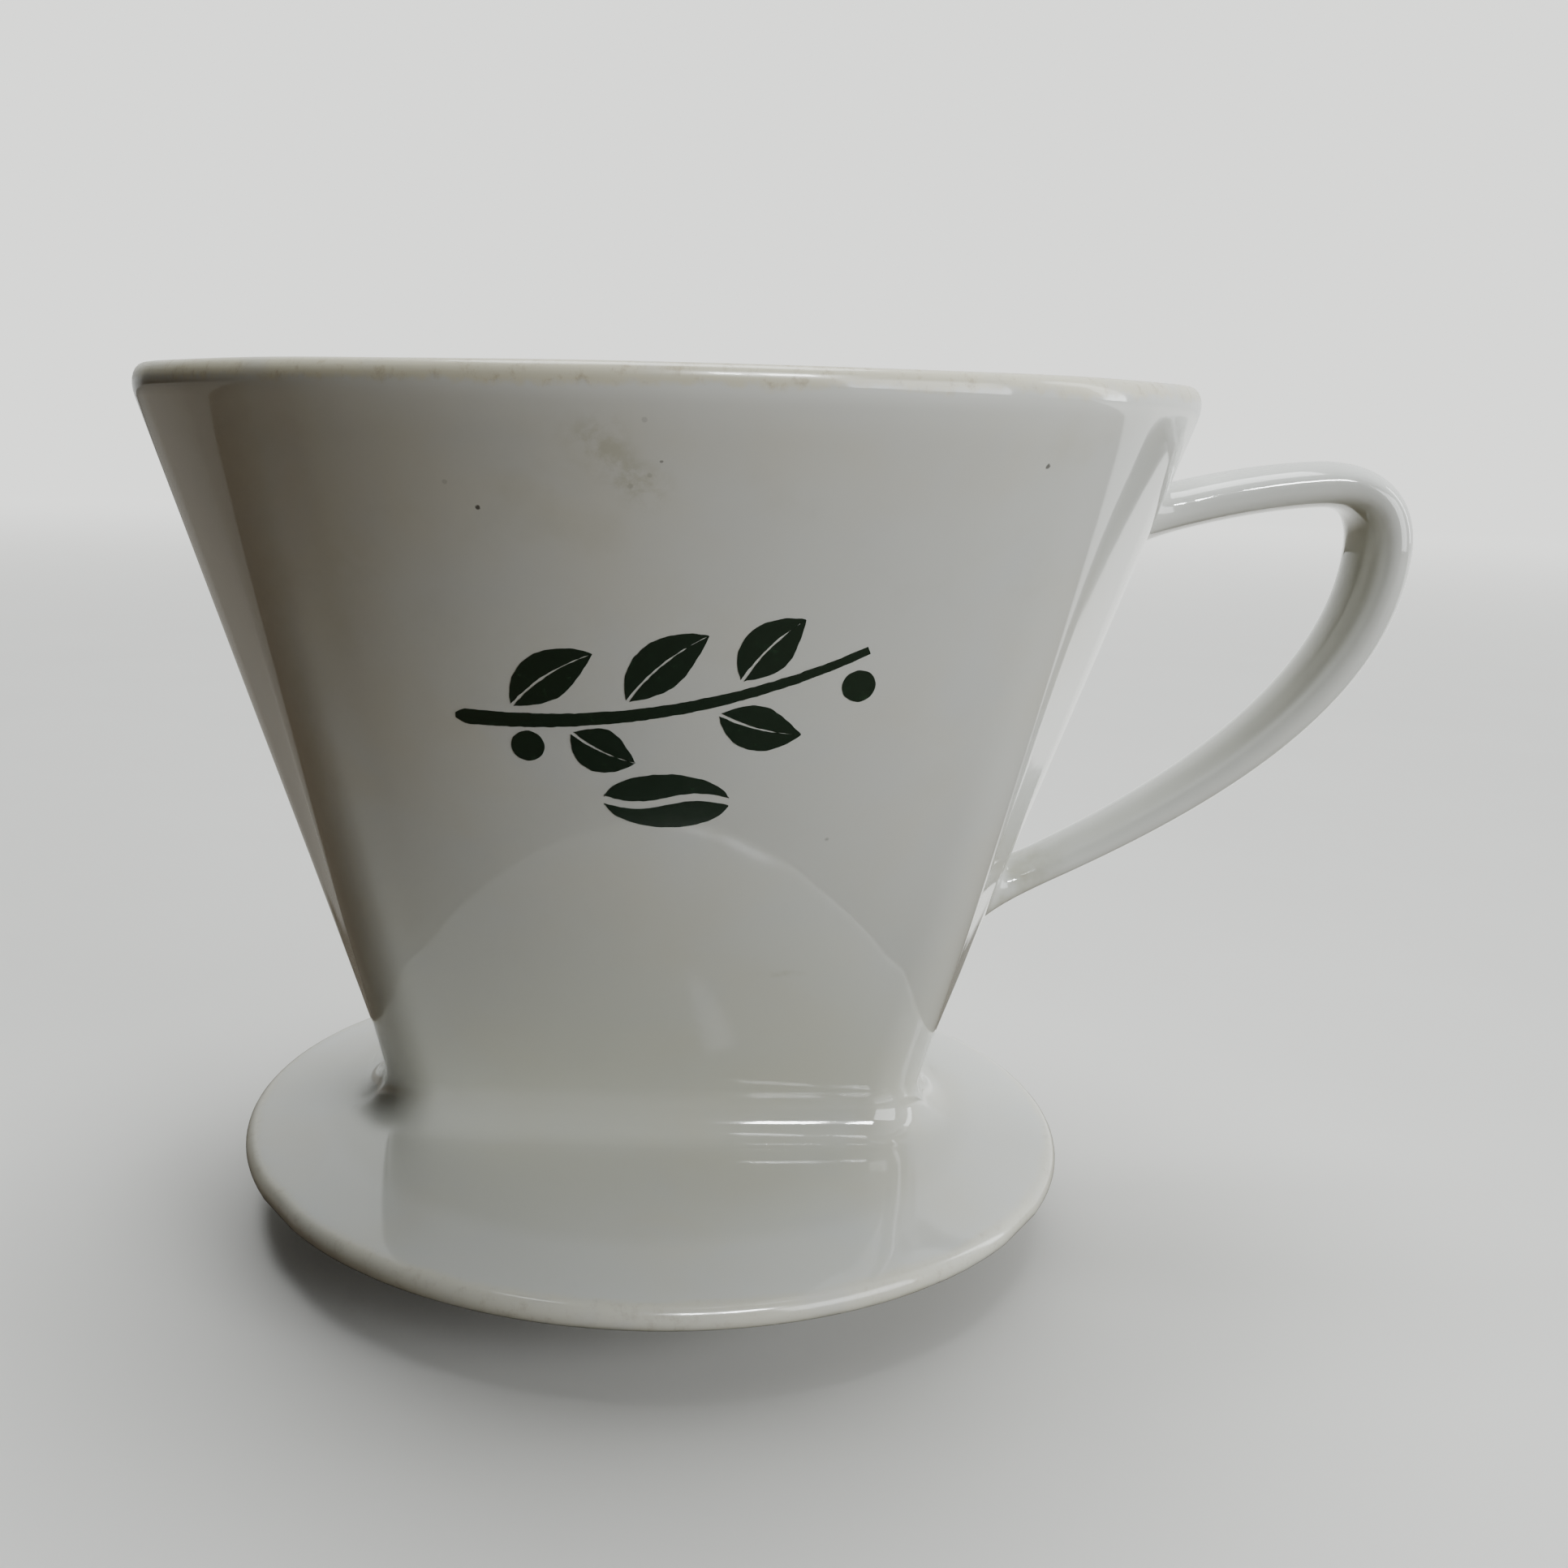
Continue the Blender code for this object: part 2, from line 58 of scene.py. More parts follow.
DRAIN_RADIUS = 1.8 * MM
DRAIN_FLARE = 0.9 * MM
DRAIN_PLACES = [place * 11.5 * MM for place in (-1.5, -0.5, 0.5, 1.5)]
DRAIN_SIDES = 36
DRILL_REACH = 3 * MM  # of the cutter, past both ends of the hole
DRILL_LIP = 0.001 * MM  # keeps the cutter's corner off the floor's plane

# Ribs inside the cone: how many a wide and a narrow side have, and where across a rib the mesh has points.
RIBS_WIDE = 7
RIBS_NARROW = 3
RIB_HALF_WIDTH = 1.2 * MM
RIB_HEIGHT = 1.1 * MM
RIB_TOP = 75 * MM
RIB_FADE = 9 * MM
RIB_SPACING_SHARE = 0.28  # a rib's half-width is at most this share of the ribs' spacing
RIB_OFFSETS_WIDE = (0.0055, 0.011, 0.0165, 0.023, 0.045)
RIB_OFFSETS_NARROW = (0.006, 0.013, 0.02, 0.03, 0.045, 0.065, 0.095)

# How finely the skin is divided, and the share of a side or a corner over which its slope is taken.
SIDE_SLOPE_STEP = 0.002
CORNER_SLOPE_STEP = 0.008
CORNER_STEPS = 12
WALL_STEPS = 26
LIP_STEPS = 14
FILLET_STEPS = 9
FLANGE_STEPS = 10
EDGE_STEPS = 12
RIB_STEPS = 34
ROUNDING_STEPS = 6

# A hand-cast wall is never quite even, which shows in its reflections.
WAVE_HEIGHT = 0.07 * MM
WAVE_LENGTH = 24 * MM
WAVE_RISE = (0.5 * MM, 4 * MM)  # heights between which the waves set in, so that the underside stays flat

# Handle: knots of its centre line (place, then its two tangent points, x and z in mm), and its section.
HANDLE_KNOTS = (
    ((54.0, 79.2), (54.0, 79.2), (62.0, 82.6)),
    ((79.0, 84.9), (73.0, 84.6), (84.1, 85.2)),
    ((87.2, 76.5), (87.5, 82.8), (86.2, 57.8)),
    ((40.0, 32.4), (63.5, 43.2), (40.0, 32.4)),
)
HANDLE_HALF_THICKNESS = (2.9 * MM, 2.75 * MM, 3.1 * MM, 2.1 * MM)
HANDLE_WIDTH_RATIO = 2.1
HANDLE_FULLNESS = 0.9  # below 1 the section is fuller than an ellipse
HANDLE_STEPS = 40
HANDLE_SIDES = 40
HANDLE_END = 4.6 * MM  # distance from the wall where the strap starts to spread
HANDLE_SPREAD = 2.2 * MM
SPREAD_STEPS = 9
SOCKET_DEPTH = 0.7 * MM
HANDLE_MIDDLE = (62 * MM, 0, 64 * MM)  # inside the loop, about as far from the strap all round
HANDLE_SIDE = (0.0, 0.5, 1)  # the station in the middle of the cone's handle side

# Printed sprig and bean: x and z on the cone's front.
PRINT_THICKNESS = 0.035 * MM
PRINT_EDGE_NOISE = 0.09 * MM
PRINT_EDGE_SCALE = 0.8 * MM
PRINT_COLUMNS = 4
STEM_ENDS = (Vector((-20.5 * MM, 61.5 * MM)), Vector((20 * MM, 69.5 * MM)))
STEM_SAG = 2.6 * MM
STEM_HALF_WIDTHS = (0.84 * MM, 0.42 * MM)
STEM_START = (-0.02, 0.03)  # shares of its length between which the stem widens from a point
STEM_STEPS = 90
LEAVES = (  # each leaf's place along the stem, its angle from the stem in degrees, and its length
    (0.13, 52, 10.5 * MM),
    (0.27, -46, 7.5 * MM),
    (0.41, 50, 11.0 * MM),
    (0.62, -44, 9.0 * MM),
    (0.69, 46, 9.0 * MM),
)
LEAF_HALF_WIDTH = 2.5 * MM
LEAF_GAP = 0.3 * MM
LEAF_START = 0.06  # share of its length where a leaf starts
LEAF_BEND = 0.3  # share of its angle that a leaf turns back towards the stem
LEAF_FULLNESS = 0.85  # below 1 the leaf is fuller than a sine curve
LEAF_LEAN = 0.9  # below 1 the leaf is widest nearer to its root
LEAF_EDGE = 0.03 * MM
LEAF_STEPS = 36
VEIN_HALF_WIDTH = 0.17 * MM
BERRIES = ((0.17, -2.9 * MM), (0.95, -3.2 * MM))  # place along the stem, offset from it
BERRY_RADIUS = 1.7 * MM
BEAN_CENTRE = Vector((0.8 * MM, 52.6 * MM))
BEAN_HALF_SIZE = (6.4 * MM, 3.2 * MM)
BEAN_CREASE = 0.45 * MM
BEAN_WAVE = 0.55 * MM
BEAN_TIP = 0.15 * MM  # least height of either half
BEAN_END_GAP = 0.1 * MM
OVAL_STEPS = 40
OVAL_END_ANGLE = math.radians(86)  # columns across an oval stop short of its very ends

# Marks of use on the glaze. Each speck: its place on the cone's front (x and z in mm), size and darkness.
SPECKS = (
    ((-16.8, 82.7), 0.22 * MM, 0.95),
    ((35.5, 87.3), 0.26 * MM, 0.85),
    ((-0.4, 87.2), 0.15 * MM, 0.6),
    ((-1.4, 86.0), 0.22 * MM, 0.2),
    ((-3.1, 85.0), 0.25 * MM, 0.2),
    ((-1.9, 90.7), 0.25 * MM, 0.2),
    ((-19.7, 84.9), 0.25 * MM, 0.2),
)
# Each brownish stain or scuff: its place, its size, and how much flatter than wide it is.
STAINS = (
    ((-6.0, 89.0), 2.6 * MM, 1.0),
    ((-1.8, 84.8), 2.2 * MM, 1.0),
    ((-4.0, 86.6), 2.0 * MM, 1.0),
    ((14.2, 29.4), 2.4 * MM, 5.0),
)

# The photograph's view.
CAMERA_PLACE = (0, -0.20113, 0.09065)
CAMERA_YAW = math.radians(0.34)
CAMERA_PITCH = math.radians(12.55)
CAMERA_ROLL = math.radians(1.34)
CAMERA_LENS = 37.45
CAMERA_SHIFT = 0.07365

# The room: bright towards one side and dark opposite, over a table that reflects little light.
ROOM_BRIGHT_SIDE = (0.62, 0.75, 0.22)
ROOM_DARK = (0.008, 0.005, 0.001)
ROOM_BRIGHT = (1.30, 1.34, 1.30)
ROOM_TURN = (0.02, 0.9)  # from dark to bright, as the cosine of the angle from the bright side
BACKDROP = (1.70, 1.72, 1.66)
FLOOR_BOUNCE = (0.065, 0.046, 0.024)
FLOOR_COLOURS = ((0.78, 0.77, 0.75), (0.84, 0.83, 0.81))
FLOOR_HALF_SIZE = 2.5
BLACK = (0, 0, 0)
FLOOR_FADE = (0.25, 1.8)  # distance over which the seen floor runs into the backdrop
GLOW_START = 0.075  # behind the object, where the pale wall's foot would show in the glaze
GLOW_RISE = 0.01
GLOW_TURN = (-0.08, 0.12)  # from dim on the left to bright on the handle's side
GLOW_STRENGTH = (0.10, 1.1)
WINDOW_COLOUR = (0.965, 1.0, 1.0)
WINDOW_DISTANCE = 1.5
WINDOW_AIM = 0.05

# Sizes that come from the frame.
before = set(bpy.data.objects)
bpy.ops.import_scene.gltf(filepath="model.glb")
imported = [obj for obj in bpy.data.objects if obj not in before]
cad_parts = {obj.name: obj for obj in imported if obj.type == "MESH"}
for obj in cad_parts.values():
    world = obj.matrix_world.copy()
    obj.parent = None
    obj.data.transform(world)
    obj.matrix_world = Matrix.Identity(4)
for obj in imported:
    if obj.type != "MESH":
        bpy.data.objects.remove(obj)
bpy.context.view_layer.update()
cone_low, cone_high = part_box("filter_cone")
cone_points = [vertex.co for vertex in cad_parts["filter_cone"].data.vertices]
cone_foot = [point for point in cone_points if point.z < cone_low.z + 0.1 * MM]
foot_size = (max(point.x for point in cone_foot), max(point.y for point in cone_foot))
rim_radius, rim_top = cone_high.y, cone_high.z
lip_start = rim_top - RIM_WALL / 2
flange_low, flange_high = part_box("base_flange")
flange_radius, flange_top = flange_high.x, flange_high.z
flange_edge_reach = flange_radius - FLANGE_EDGE_RADIUS * (1 - math.cos(FLANGE_EDGE_ANGLE))
flange_edge_top = FLANGE_EDGE_RADIUS * (1 + math.sin(FLANGE_EDGE_ANGLE))
foot_low, foot_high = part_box("foot_ring")
foot_outer, foot_bottom = foot_high.x, foot_low.z
foot_inner = foot_outer - FOOT_WALL


def lerp(a, b, t):
    return a + (b - a) * t


def smooth(low, high, value):
    """0 below low, 1 above high, and a soft step between them."""
    t = min(1.0, max(0.0, (value - low) / (high - low)))
    return t * t * (3 - 2 * t)


def slerp(a, b, t):
    """The direction a share t of the way round from direction a to direction b."""
    angle = a.angle(b)
    return (a * math.sin((1 - t) * angle) + b * math.sin(t * angle)) / math.sin(angle)


# The cone's ruled walls.


def face_stops(ribs, offsets):
    """Places from 0 to 1 across a face of the cone, close together where a rib stands."""
    stops = {0.0, 1.0}
    for number in range(1, ribs + 1):
        middle = number / (ribs + 1)
        stops.add(middle)
        stops.update(middle + side * offset for offset in offsets for side in (-1, 1))
    stops.update((number + 0.5) / (ribs + 1) for number in range(ribs + 1))
    return sorted(stops)


def stations():
    """All places round the cone, as (facing, along, ribs).

    These are the angle that its side faces, the share across the side or the corner after it, and how many
    ribs the side has; a corner has none.
    """
    narrow = (RIBS_NARROW, face_stops(RIBS_NARROW, RIB_OFFSETS_NARROW))
    wide = (RIBS_WIDE, face_stops(RIBS_WIDE, RIB_OFFSETS_WIDE))
    found = []
    for side, (ribs, stops) in enumerate((narrow, wide, narrow, wide)):
        facing = math.radians(90) * side
        found += [(facing, stop, ribs) for stop in stops]
        found += [(facing, step / CORNER_STEPS, 0) for step in range(1, CORNER_STEPS)]
    return found


class Wall:
    """One ruled surface of the cone, from a rounded rectangle at its foot to a circle at its rim."""

    def __init__(self, foot, corner, rim_radius, low, high):
        self.foot, self.corner, self.rim_radius = foot, corner, rim_radius
        self.low, self.high = low, high

    def ends(self, facing, along, ribs):
        """The foot point and the rim point of the straight line up the wall at a station."""
        turn = facing + SIDE_RIM_HALF_ANGLE + along * CORNER_RIM_ANGLE
        if ribs:
            turn = facing + lerp(-SIDE_RIM_HALF_ANGLE, SIDE_RIM_HALF_ANGLE, along)
        outward = Vector((math.cos(facing), math.sin(facing)))
        across = Vector((-outward.y, outward.x))
        if ribs:
            reach = abs(outward.x) * self.foot[0] + abs(outward.y) * self.foot[1]
            half = abs(across.x) * self.foot[0] + abs(across.y) * self.foot[1] - self.corner
            start = outward * reach + across * lerp(-half, half, along)
        else:
            middle = facing + math.radians(45)
            centre = Vector((
                math.copysign(self.foot[0] - self.corner, math.cos(middle)),
                math.copysign(self.foot[1] - self.corner, math.sin(middle)),
            ))
            angle = facing + math.radians(90) * along
            start = centre + self.corner * Vector((math.cos(angle), math.sin(angle)))
        end = self.rim_radius * Vector((math.cos(turn), math.sin(turn)))
        return Vector((start.x, start.y, self.low)), Vector((end.x, end.y, self.high))

    def point(self, station, z):
        start, end = self.ends(*station)
        return lerp(start, end, (z - self.low) / (self.high - self.low))

    def normal(self, station, z):
        """The outward direction of the wall at a station and height."""
        facing, along, ribs = station
        step = SIDE_SLOPE_STEP if ribs else CORNER_SLOPE_STEP
        before = self.point((facing, along - step, ribs), z)
        after = self.point((facing, along + step, ribs), z)
        start, end = self.ends(*station)
        return (after - before).cross(end - start).normalized()

    def width(self, station, z):
        """How wide the station's side is at height z."""
        facing, _, ribs = station
        return (self.point((facing, 1, ribs), z) - self.point((facing, 0, ribs), z)).length


outer = Wall(foot_size, CORNER_RADIUS, rim_radius, FLOOR_TOP, lip_start)
inner_foot = (foot_size[0] - WALL, foot_size[1] - WALL)
inner = Wall(inner_foot, INNER_CORNER_RADIUS, rim_radius - RIM_WALL, FLOOR_TOP, lip_start)


def rib_height(station, z):
    """How far a rib stands off the inner wall at a station and height."""
    _, along, ribs = station
    if not ribs:
        return 0.0
    width = inner.width(station, z)
    spacing = width / (ribs + 1)
    half = min(RIB_HALF_WIDTH, RIB_SPACING_SHARE * spacing)
    nearest = min(max(round(along * (ribs + 1)), 1), ribs) / (ribs + 1)
    distance = abs(along - nearest) * width
    if distance >= half:
        return 0.0
    fade = 1 - smooth(RIB_TOP - RIB_FADE, RIB_TOP, z)
    foot = smooth(inner.low + FLOOR_FILLET, inner.low + 3 * FLOOR_FILLET, z)
    return RIB_HEIGHT * math.cos(math.pi / 2 * distance / half) ** 1.5 * fade * foot


def flange_height(radius):
    """The flange's top: flat in the middle and falling off to its edge."""
    drop = (flange_top - flange_edge_top) / (flange_edge_reach - FLANGE_LAND_RADIUS) ** 2
    return flange_top - drop * max(0.0, radius - FLANGE_LAND_RADIUS) ** 2


def at_radius(station, radius, z):
    """The point at a station's direction on a circle."""
    _, end = outer.ends(*station)
    direction = Vector((end.x, end.y, 0)).normalized()
    return direction * radius + UP * z


# Rings of the glazed skin: from the underside's middle outwards, up, over the lip and down to the floor.


def underside_rings(places):
    """The flat under the floor, the foot ring, and the flange's underside."""
    reach = FOOT_ROUNDING
    profile = [(lerp(0, foot_inner, 0.6), 0.0), (foot_inner - reach, 0.0)]
    profile += rounding((foot_inner - reach, -reach), reach, 90, 0)
    profile += rounding((foot_inner + reach, foot_bottom + reach), reach, 180, 270)
    profile += rounding((foot_outer - reach, foot_bottom + reach), reach, 270, 360)
    profile += rounding((foot_outer + reach, -reach), reach, 180, 90)
    profile.append((lerp(foot_outer, flange_radius, 0.5), 0.0))
    return [[at_radius(place, radius, z) for place in places] for radius, z in profile]


def rounding(centre, radius, start, end):
    """Points (radius, height) on an arc, with angles in degrees from the outward direction."""
    found = []
    for step in range(ROUNDING_STEPS + 1):
        angle = math.radians(lerp(start, end, step / ROUNDING_STEPS))
        found.append((centre[0] + radius * math.cos(angle), centre[1] + radius * math.sin(angle)))
    return found


def flange_edge_rings(places):
    centre = flange_radius - FLANGE_EDGE_RADIUS
    rings = []
    for step in range(EDGE_STEPS + 1):
        angle = lerp(math.radians(-90), FLANGE_EDGE_ANGLE, step / EDGE_STEPS)
        radius = centre + FLANGE_EDGE_RADIUS * math.cos(angle)
        z = FLANGE_EDGE_RADIUS * (1 + math.sin(angle))
        rings.append([at_radius(place, radius, z) for place in places])
    return rings


def base_fillet_rings(places):
    """The hollow of slip between the flange and the wall, from the flange upwards."""
    rings = [[] for _ in range(FILLET_STEPS + 1)]
    for place in places:
        z = flange_top + FILLET_RADIUS
        for _ in range(3):
            normal = outer.normal(place, z)
            z = flange_top + FILLET_RADIUS * (1 - normal.z)
        centre = outer.point(place, z) + normal * FILLET_RADIUS
        for step, ring in enumerate(rings):
            share = step / FILLET_STEPS
            point = centre + FILLET_RADIUS * slerp(-UP, -normal, share)
            radius = math.hypot(point.x, point.y)
            point.z += (flange_height(radius) - flange_top) * (1 - share)
            ring.append(point)
    return rings


def flange_top_rings(places, fillet_ring):
    """From the flange's edge inwards to the fillet, without either end."""
    rings = []
    for step in range(FLANGE_STEPS - 1, 0, -1):
        ring = []
        for place, start in zip(places, fillet_ring):
            end = at_radius(place, flange_edge_reach, 0)
            point = lerp(start, end, step / FLANGE_STEPS)
            point.z = flange_height(math.hypot(point.x, point.y))
            ring.append(point)
        rings.append(ring)
    return rings


def wall_and_lip_rings(places, fillet_top):
    """Up the outside from the fillet, and over the round lip to the inside."""
    walls = [[] for _ in range(WALL_STEPS)]
    lips = [[] for _ in range(LIP_STEPS + 1)]
    for place, low in zip(places, fillet_top):
        start, end = outer.ends(*place)
        rise = (end - start).normalized() * LIP_STRETCH
        normal = outer.normal(place, outer.high)
        half = RIM_WALL / 2 * math.hypot(normal.x, normal.y)
        z = rim_top + half * (normal.z - math.hypot(normal.z, rise.z))
        normal = outer.normal(place, z)
        for step, ring in enumerate(walls):
            share = (step + 1) / (WALL_STEPS + 1)
            ring.append(outer.point(place, lerp(low.z, z, share)))
        centre = outer.point(place, z) - normal * half
        for step, ring in enumerate(lips):
            turn = math.pi * step / LIP_STEPS
            ring.append(centre + half * (normal * math.cos(turn) + rise * math.sin(turn)))
    return walls + lips


def inside_rings(places, lip_ring):
    """Down the ribbed inside from the lip, and round into the floor."""
    walls = [[] for _ in range(RIB_STEPS)]
    floors = [[] for _ in range(ROUNDING_STEPS + 1)]
    for place, top in zip(places, lip_ring):
        foot, _ = inner.ends(*place)
        slope = (top - foot).normalized()
        facing = inner.normal(place, lerp(inner.low, inner.high, 0.02))
        start_z = inner.low + FLOOR_FILLET * (1 + facing.z)
        start = foot + slope * ((start_z - foot.z) / slope.z)
        for step, ring in enumerate(walls):
            share = (step + 1) / (RIB_STEPS + 1)
            point = lerp(top, start, share)
            outward = inner.normal(place, point.z)
            ring.append(point - outward * rib_height(place, point.z))
        centre = start - facing * FLOOR_FILLET
        for step, ring in enumerate(floors):
            ring.append(centre + FLOOR_FILLET * slerp(facing, -UP, step / ROUNDING_STEPS))
    return walls + floors


def loft(bm, rings, capped=True):
    """Quads between rings of equal length, with a face over the first and the last."""
    rows = [[bm.verts.new(point) for point in ring] for ring in rings]
    count = len(rows[0])
    for low, high in zip(rows, rows[1:]):
        for i in range(count):
            j = (i + 1) % count
            bm.faces.new((low[i], low[j], high[j], high[i]))
    if capped:
        bm.faces.new(rows[0])
        bm.faces.new(rows[-1])


def mesh_object(name, bm, sharp_degrees=60):
    """A smooth-shaded object in the scene, made from a bmesh."""
    bmesh.ops.recalc_face_normals(bm, faces=bm.faces)
    mesh = bpy.data.meshes.new(name)
    bm.to_mesh(mesh)
    bm.free()
    mesh.shade_smooth()
    mesh.set_sharp_from_angle(angle=math.radians(sharp_degrees))
    made = bpy.data.objects.new(name, mesh)
    bpy.context.scene.collection.objects.link(made)
    return made


def apply_modifiers(made):
    graph = bpy.context.evaluated_depsgraph_get()
    mesh = bpy.data.meshes.new_from_object(made.evaluated_get(graph))
    made.modifiers.clear()
    made.data = mesh


def add_waves(bm):
    """Pushes each point in or out a little, by a slow random height."""
    bm.normal_update()
    shifts = []
    for vertex in bm.verts:
        share = smooth(*WAVE_RISE, vertex.co.z)
        height = noise.noise(vertex.co / WAVE_LENGTH) * WAVE_HEIGHT * share
        shifts.append(vertex.normal * height)
    for vertex, shift in zip(bm.verts, shifts):
        vertex.co += shift


def drain_drill(place):
    """A turned cutter with flared ends, so that the glazed hole has soft edges."""
    top = inner.low
    widest = DRAIN_RADIUS + DRAIN_FLARE
    profile = [(widest, top + DRILL_REACH), (widest, top + DRILL_LIP)]
    for step in range(ROUNDING_STEPS + 1):
        turn = math.radians(90) * step / ROUNDING_STEPS
        radius = DRAIN_RADIUS + DRAIN_FLARE * (1 - math.sin(turn))
        profile.append((radius, top - DRAIN_FLARE * (1 - math.cos(turn))))
    profile += [(radius, top - z) for radius, z in profile[::-1]]
    angles = [2 * math.pi * side / DRAIN_SIDES for side in range(DRAIN_SIDES)]
    rings = []
    for radius, z in profile:
        rings.append([Vector((place + radius * math.cos(a), radius * math.sin(a), z)) for a in angles])
    bm = bmesh.new()
    loft(bm, rings)
    return mesh_object("drain_drill", bm)


def drill_drains(skin):
    for place in DRAIN_PLACES:
        drill = drain_drill(place)
        cut = skin.modifiers.new("drain", "BOOLEAN")
        cut.operation = "DIFFERENCE"
        cut.object = drill
        cut.solver = "EXACT"
        apply_modifiers(skin)
        bpy.data.objects.remove(drill)
    skin.data.set_sharp_from_angle(angle=math.radians(60))


def make_skin():
    """The glazed body: one closed skin with four drain holes."""
    places = stations()
    fillet = base_fillet_rings(places)
    edge = flange_edge_rings(places)
    rings = underside_rings(places) + edge + flange_top_rings(places, fillet[0]) + fillet
    outside = wall_and_lip_rings(places, fillet[-1])
    rings += outside + inside_rings(places, outside[-1])
    bm = bmesh.new()
    loft(bm, rings)
    add_waves(bm)
    skin = mesh_object("glazed_body", bm)
    drill_drains(skin)
    return skin


# Handle.


def handle_path():
    """Centre line points and half-thicknesses along the handle, from the upper to the lower joint."""
    path = []
    for number, (start, end) in enumerate(zip(HANDLE_KNOTS, HANDLE_KNOTS[1:])):
        ends = [Vector((x * MM, 0, z * MM)) for x, z in (start[0], start[2], end[1], end[0])]
        for step, point in enumerate(interpolate_bezier(*ends, HANDLE_STEPS + 1)):
            if step or not path:
                share = smooth(0, 1, step / HANDLE_STEPS)
                half = lerp(HANDLE_HALF_THICKNESS[number], HANDLE_HALF_THICKNESS[number + 1], share)
                path.append((point, half))
    return path


def strap_ring(point, direction, half):
    """An oval section across the handle; its sides are a little fuller than an ellipse's."""
    in_plane = Vector((-direction.z, 0, direction.x))
    ring = []
    for side in range(HANDLE_SIDES):
        angle = 2 * math.pi * side / HANDLE_SIDES
        across = math.copysign(abs(math.cos(angle)) ** HANDLE_FULLNESS, math.cos(angle))
        rise = math.copysign(abs(math.sin(angle)) ** HANDLE_FULLNESS, math.sin(angle))
        ring.append(point + in_plane * half * rise + Vector((0, half * HANDLE_WIDTH_RATIO * across, 0)))
    return ring


def spread_rings(ring, towards):
    """Rings that carry the strap's end onto the wall in a soft fillet, and then into it."""
    middle = sum(ring, Vector()) / len(ring)
    centre_hit = skin_tree.ray_cast(middle, towards)[0]
    rings = [[] for _ in range(SPREAD_STEPS + 1)]
    for start in ring:
        hit, normal, _, _ = skin_tree.ray_cast(start, towards)
        away = hit - centre_hit
        away = (away - normal * away.dot(normal)).normalized()
        landed, normal, _, _ = skin_tree.find_nearest(hit + away * HANDLE_SPREAD)
        for step in range(1, SPREAD_STEPS + 1):
            share = step / SPREAD_STEPS
            rings[step - 1].append(lerp(lerp(start, hit, share), lerp(hit, landed, share), share))
        rings[-1].append(landed - normal * SOCKET_DEPTH)
    return rings


def is_free(point):
    """Whether a point of the handle is outside the cone and clear of its wall."""
    _, _, _, distance = skin_tree.find_nearest(point)
    return distance > HANDLE_END and point.x > outer.point(HANDLE_SIDE, point.z).x


def make_handle(look):
    """The glazed strap, from the wall under the rim to the wall lower down."""
    path = handle_path()
    points = [point for point, _ in path]
    free = [i for i, point in enumerate(points) if is_free(point)]
    first, last = free[0], free[-1]
    rings = []
    for i in range(first, last + 1):
        direction = (points[i + 1] - points[i - 1]).normalized()
        rings.append(strap_ring(points[i], direction, path[i][1]))
    upper = spread_rings(rings[0], (points[first - 1] - points[first + 1]).normalized())
    lower = spread_rings(rings[-1], (points[last + 1] - points[last - 1]).normalized())
    bm = bmesh.new()
    loft(bm, upper[::-1] + rings + lower)
    handle = mesh_object("glazed_handle", bm)
    handle.data.materials.append(look)
    return handle


# Print.


def stem_point(along):
    """A point on the printed stem, and the stem's direction there."""
    start, end = STEM_ENDS
    chord = end - start
    normal = Vector((-chord.y, chord.x)).normalized()
    point = start + chord * along - normal * STEM_SAG * 4 * along * (1 - along)
    direction = chord - normal * STEM_SAG * 4 * (1 - 2 * along)
    return point, direction.normalized()


def uneven(place):
    """How far a hand-printed edge strays at a place on the front."""
    return noise.noise(Vector((place.x, place.y, 0)) / PRINT_EDGE_SCALE) * PRINT_EDGE_NOISE


def columns(low, high):
    """Points from one edge of a printed shape to the other."""
    return [lerp(low, high, column / PRINT_COLUMNS) for column in range(PRINT_COLUMNS + 1)]


def strip(middles, lefts, rights):
    """Rows of points across a bent strip; each edge stands off the middle line by its own width."""
    rows = []
    for i, middle in enumerate(middles):
        ahead = middles[min(i + 1, len(middles) - 1)]
        behind = middles[max(i - 1, 0)]
        along = (ahead - behind).normalized()
        side = Vector((-along.y, along.x))
        low = middle + side * lefts[i]
        high = middle + side * rights[i]
        low = low - side * uneven(low)
        high = high + side * uneven(high)
        rows.append(columns(low, high))
    return rows


def stem_strips():
    middles, halves = [], []
    for step in range(STEM_STEPS + 1):
        share = step / STEM_STEPS
        point, _ = stem_point(share)
        middles.append(point)
        halves.append(lerp(*STEM_HALF_WIDTHS, share) * smooth(*STEM_START, share))
    return [strip(middles, [-half for half in halves], halves)]


def leaf_strips(place, angle, length):
    """Both halves of a leaf, with the bare vein between them."""
    root, direction = stem_point(place)
    side = Vector((-direction.y, direction.x))
    root = root + side * math.copysign(STEM_HALF_WIDTHS[0] + LEAF_GAP, angle)
    middles, edges, veins = [], [], []
    for step in range(LEAF_STEPS + 1):
        share = step / LEAF_STEPS
        bend = math.radians(angle) * (1 - LEAF_BEND * share)
        heading = Matrix.Rotation(bend, 2) @ direction
        middles.append(root + heading * length * lerp(LEAF_START, 1, share))
        fullness = max(0.0, math.sin(math.pi * share ** LEAF_LEAN)) ** LEAF_FULLNESS
        gap = VEIN_HALF_WIDTH * (1 - share)
        edges.append(max(LEAF_HALF_WIDTH * fullness, gap + LEAF_EDGE))
        veins.append(gap)
    above = strip(middles, veins, edges)
    below = strip(middles, [-edge for edge in edges], [-vein for vein in veins])
    return [above, below]


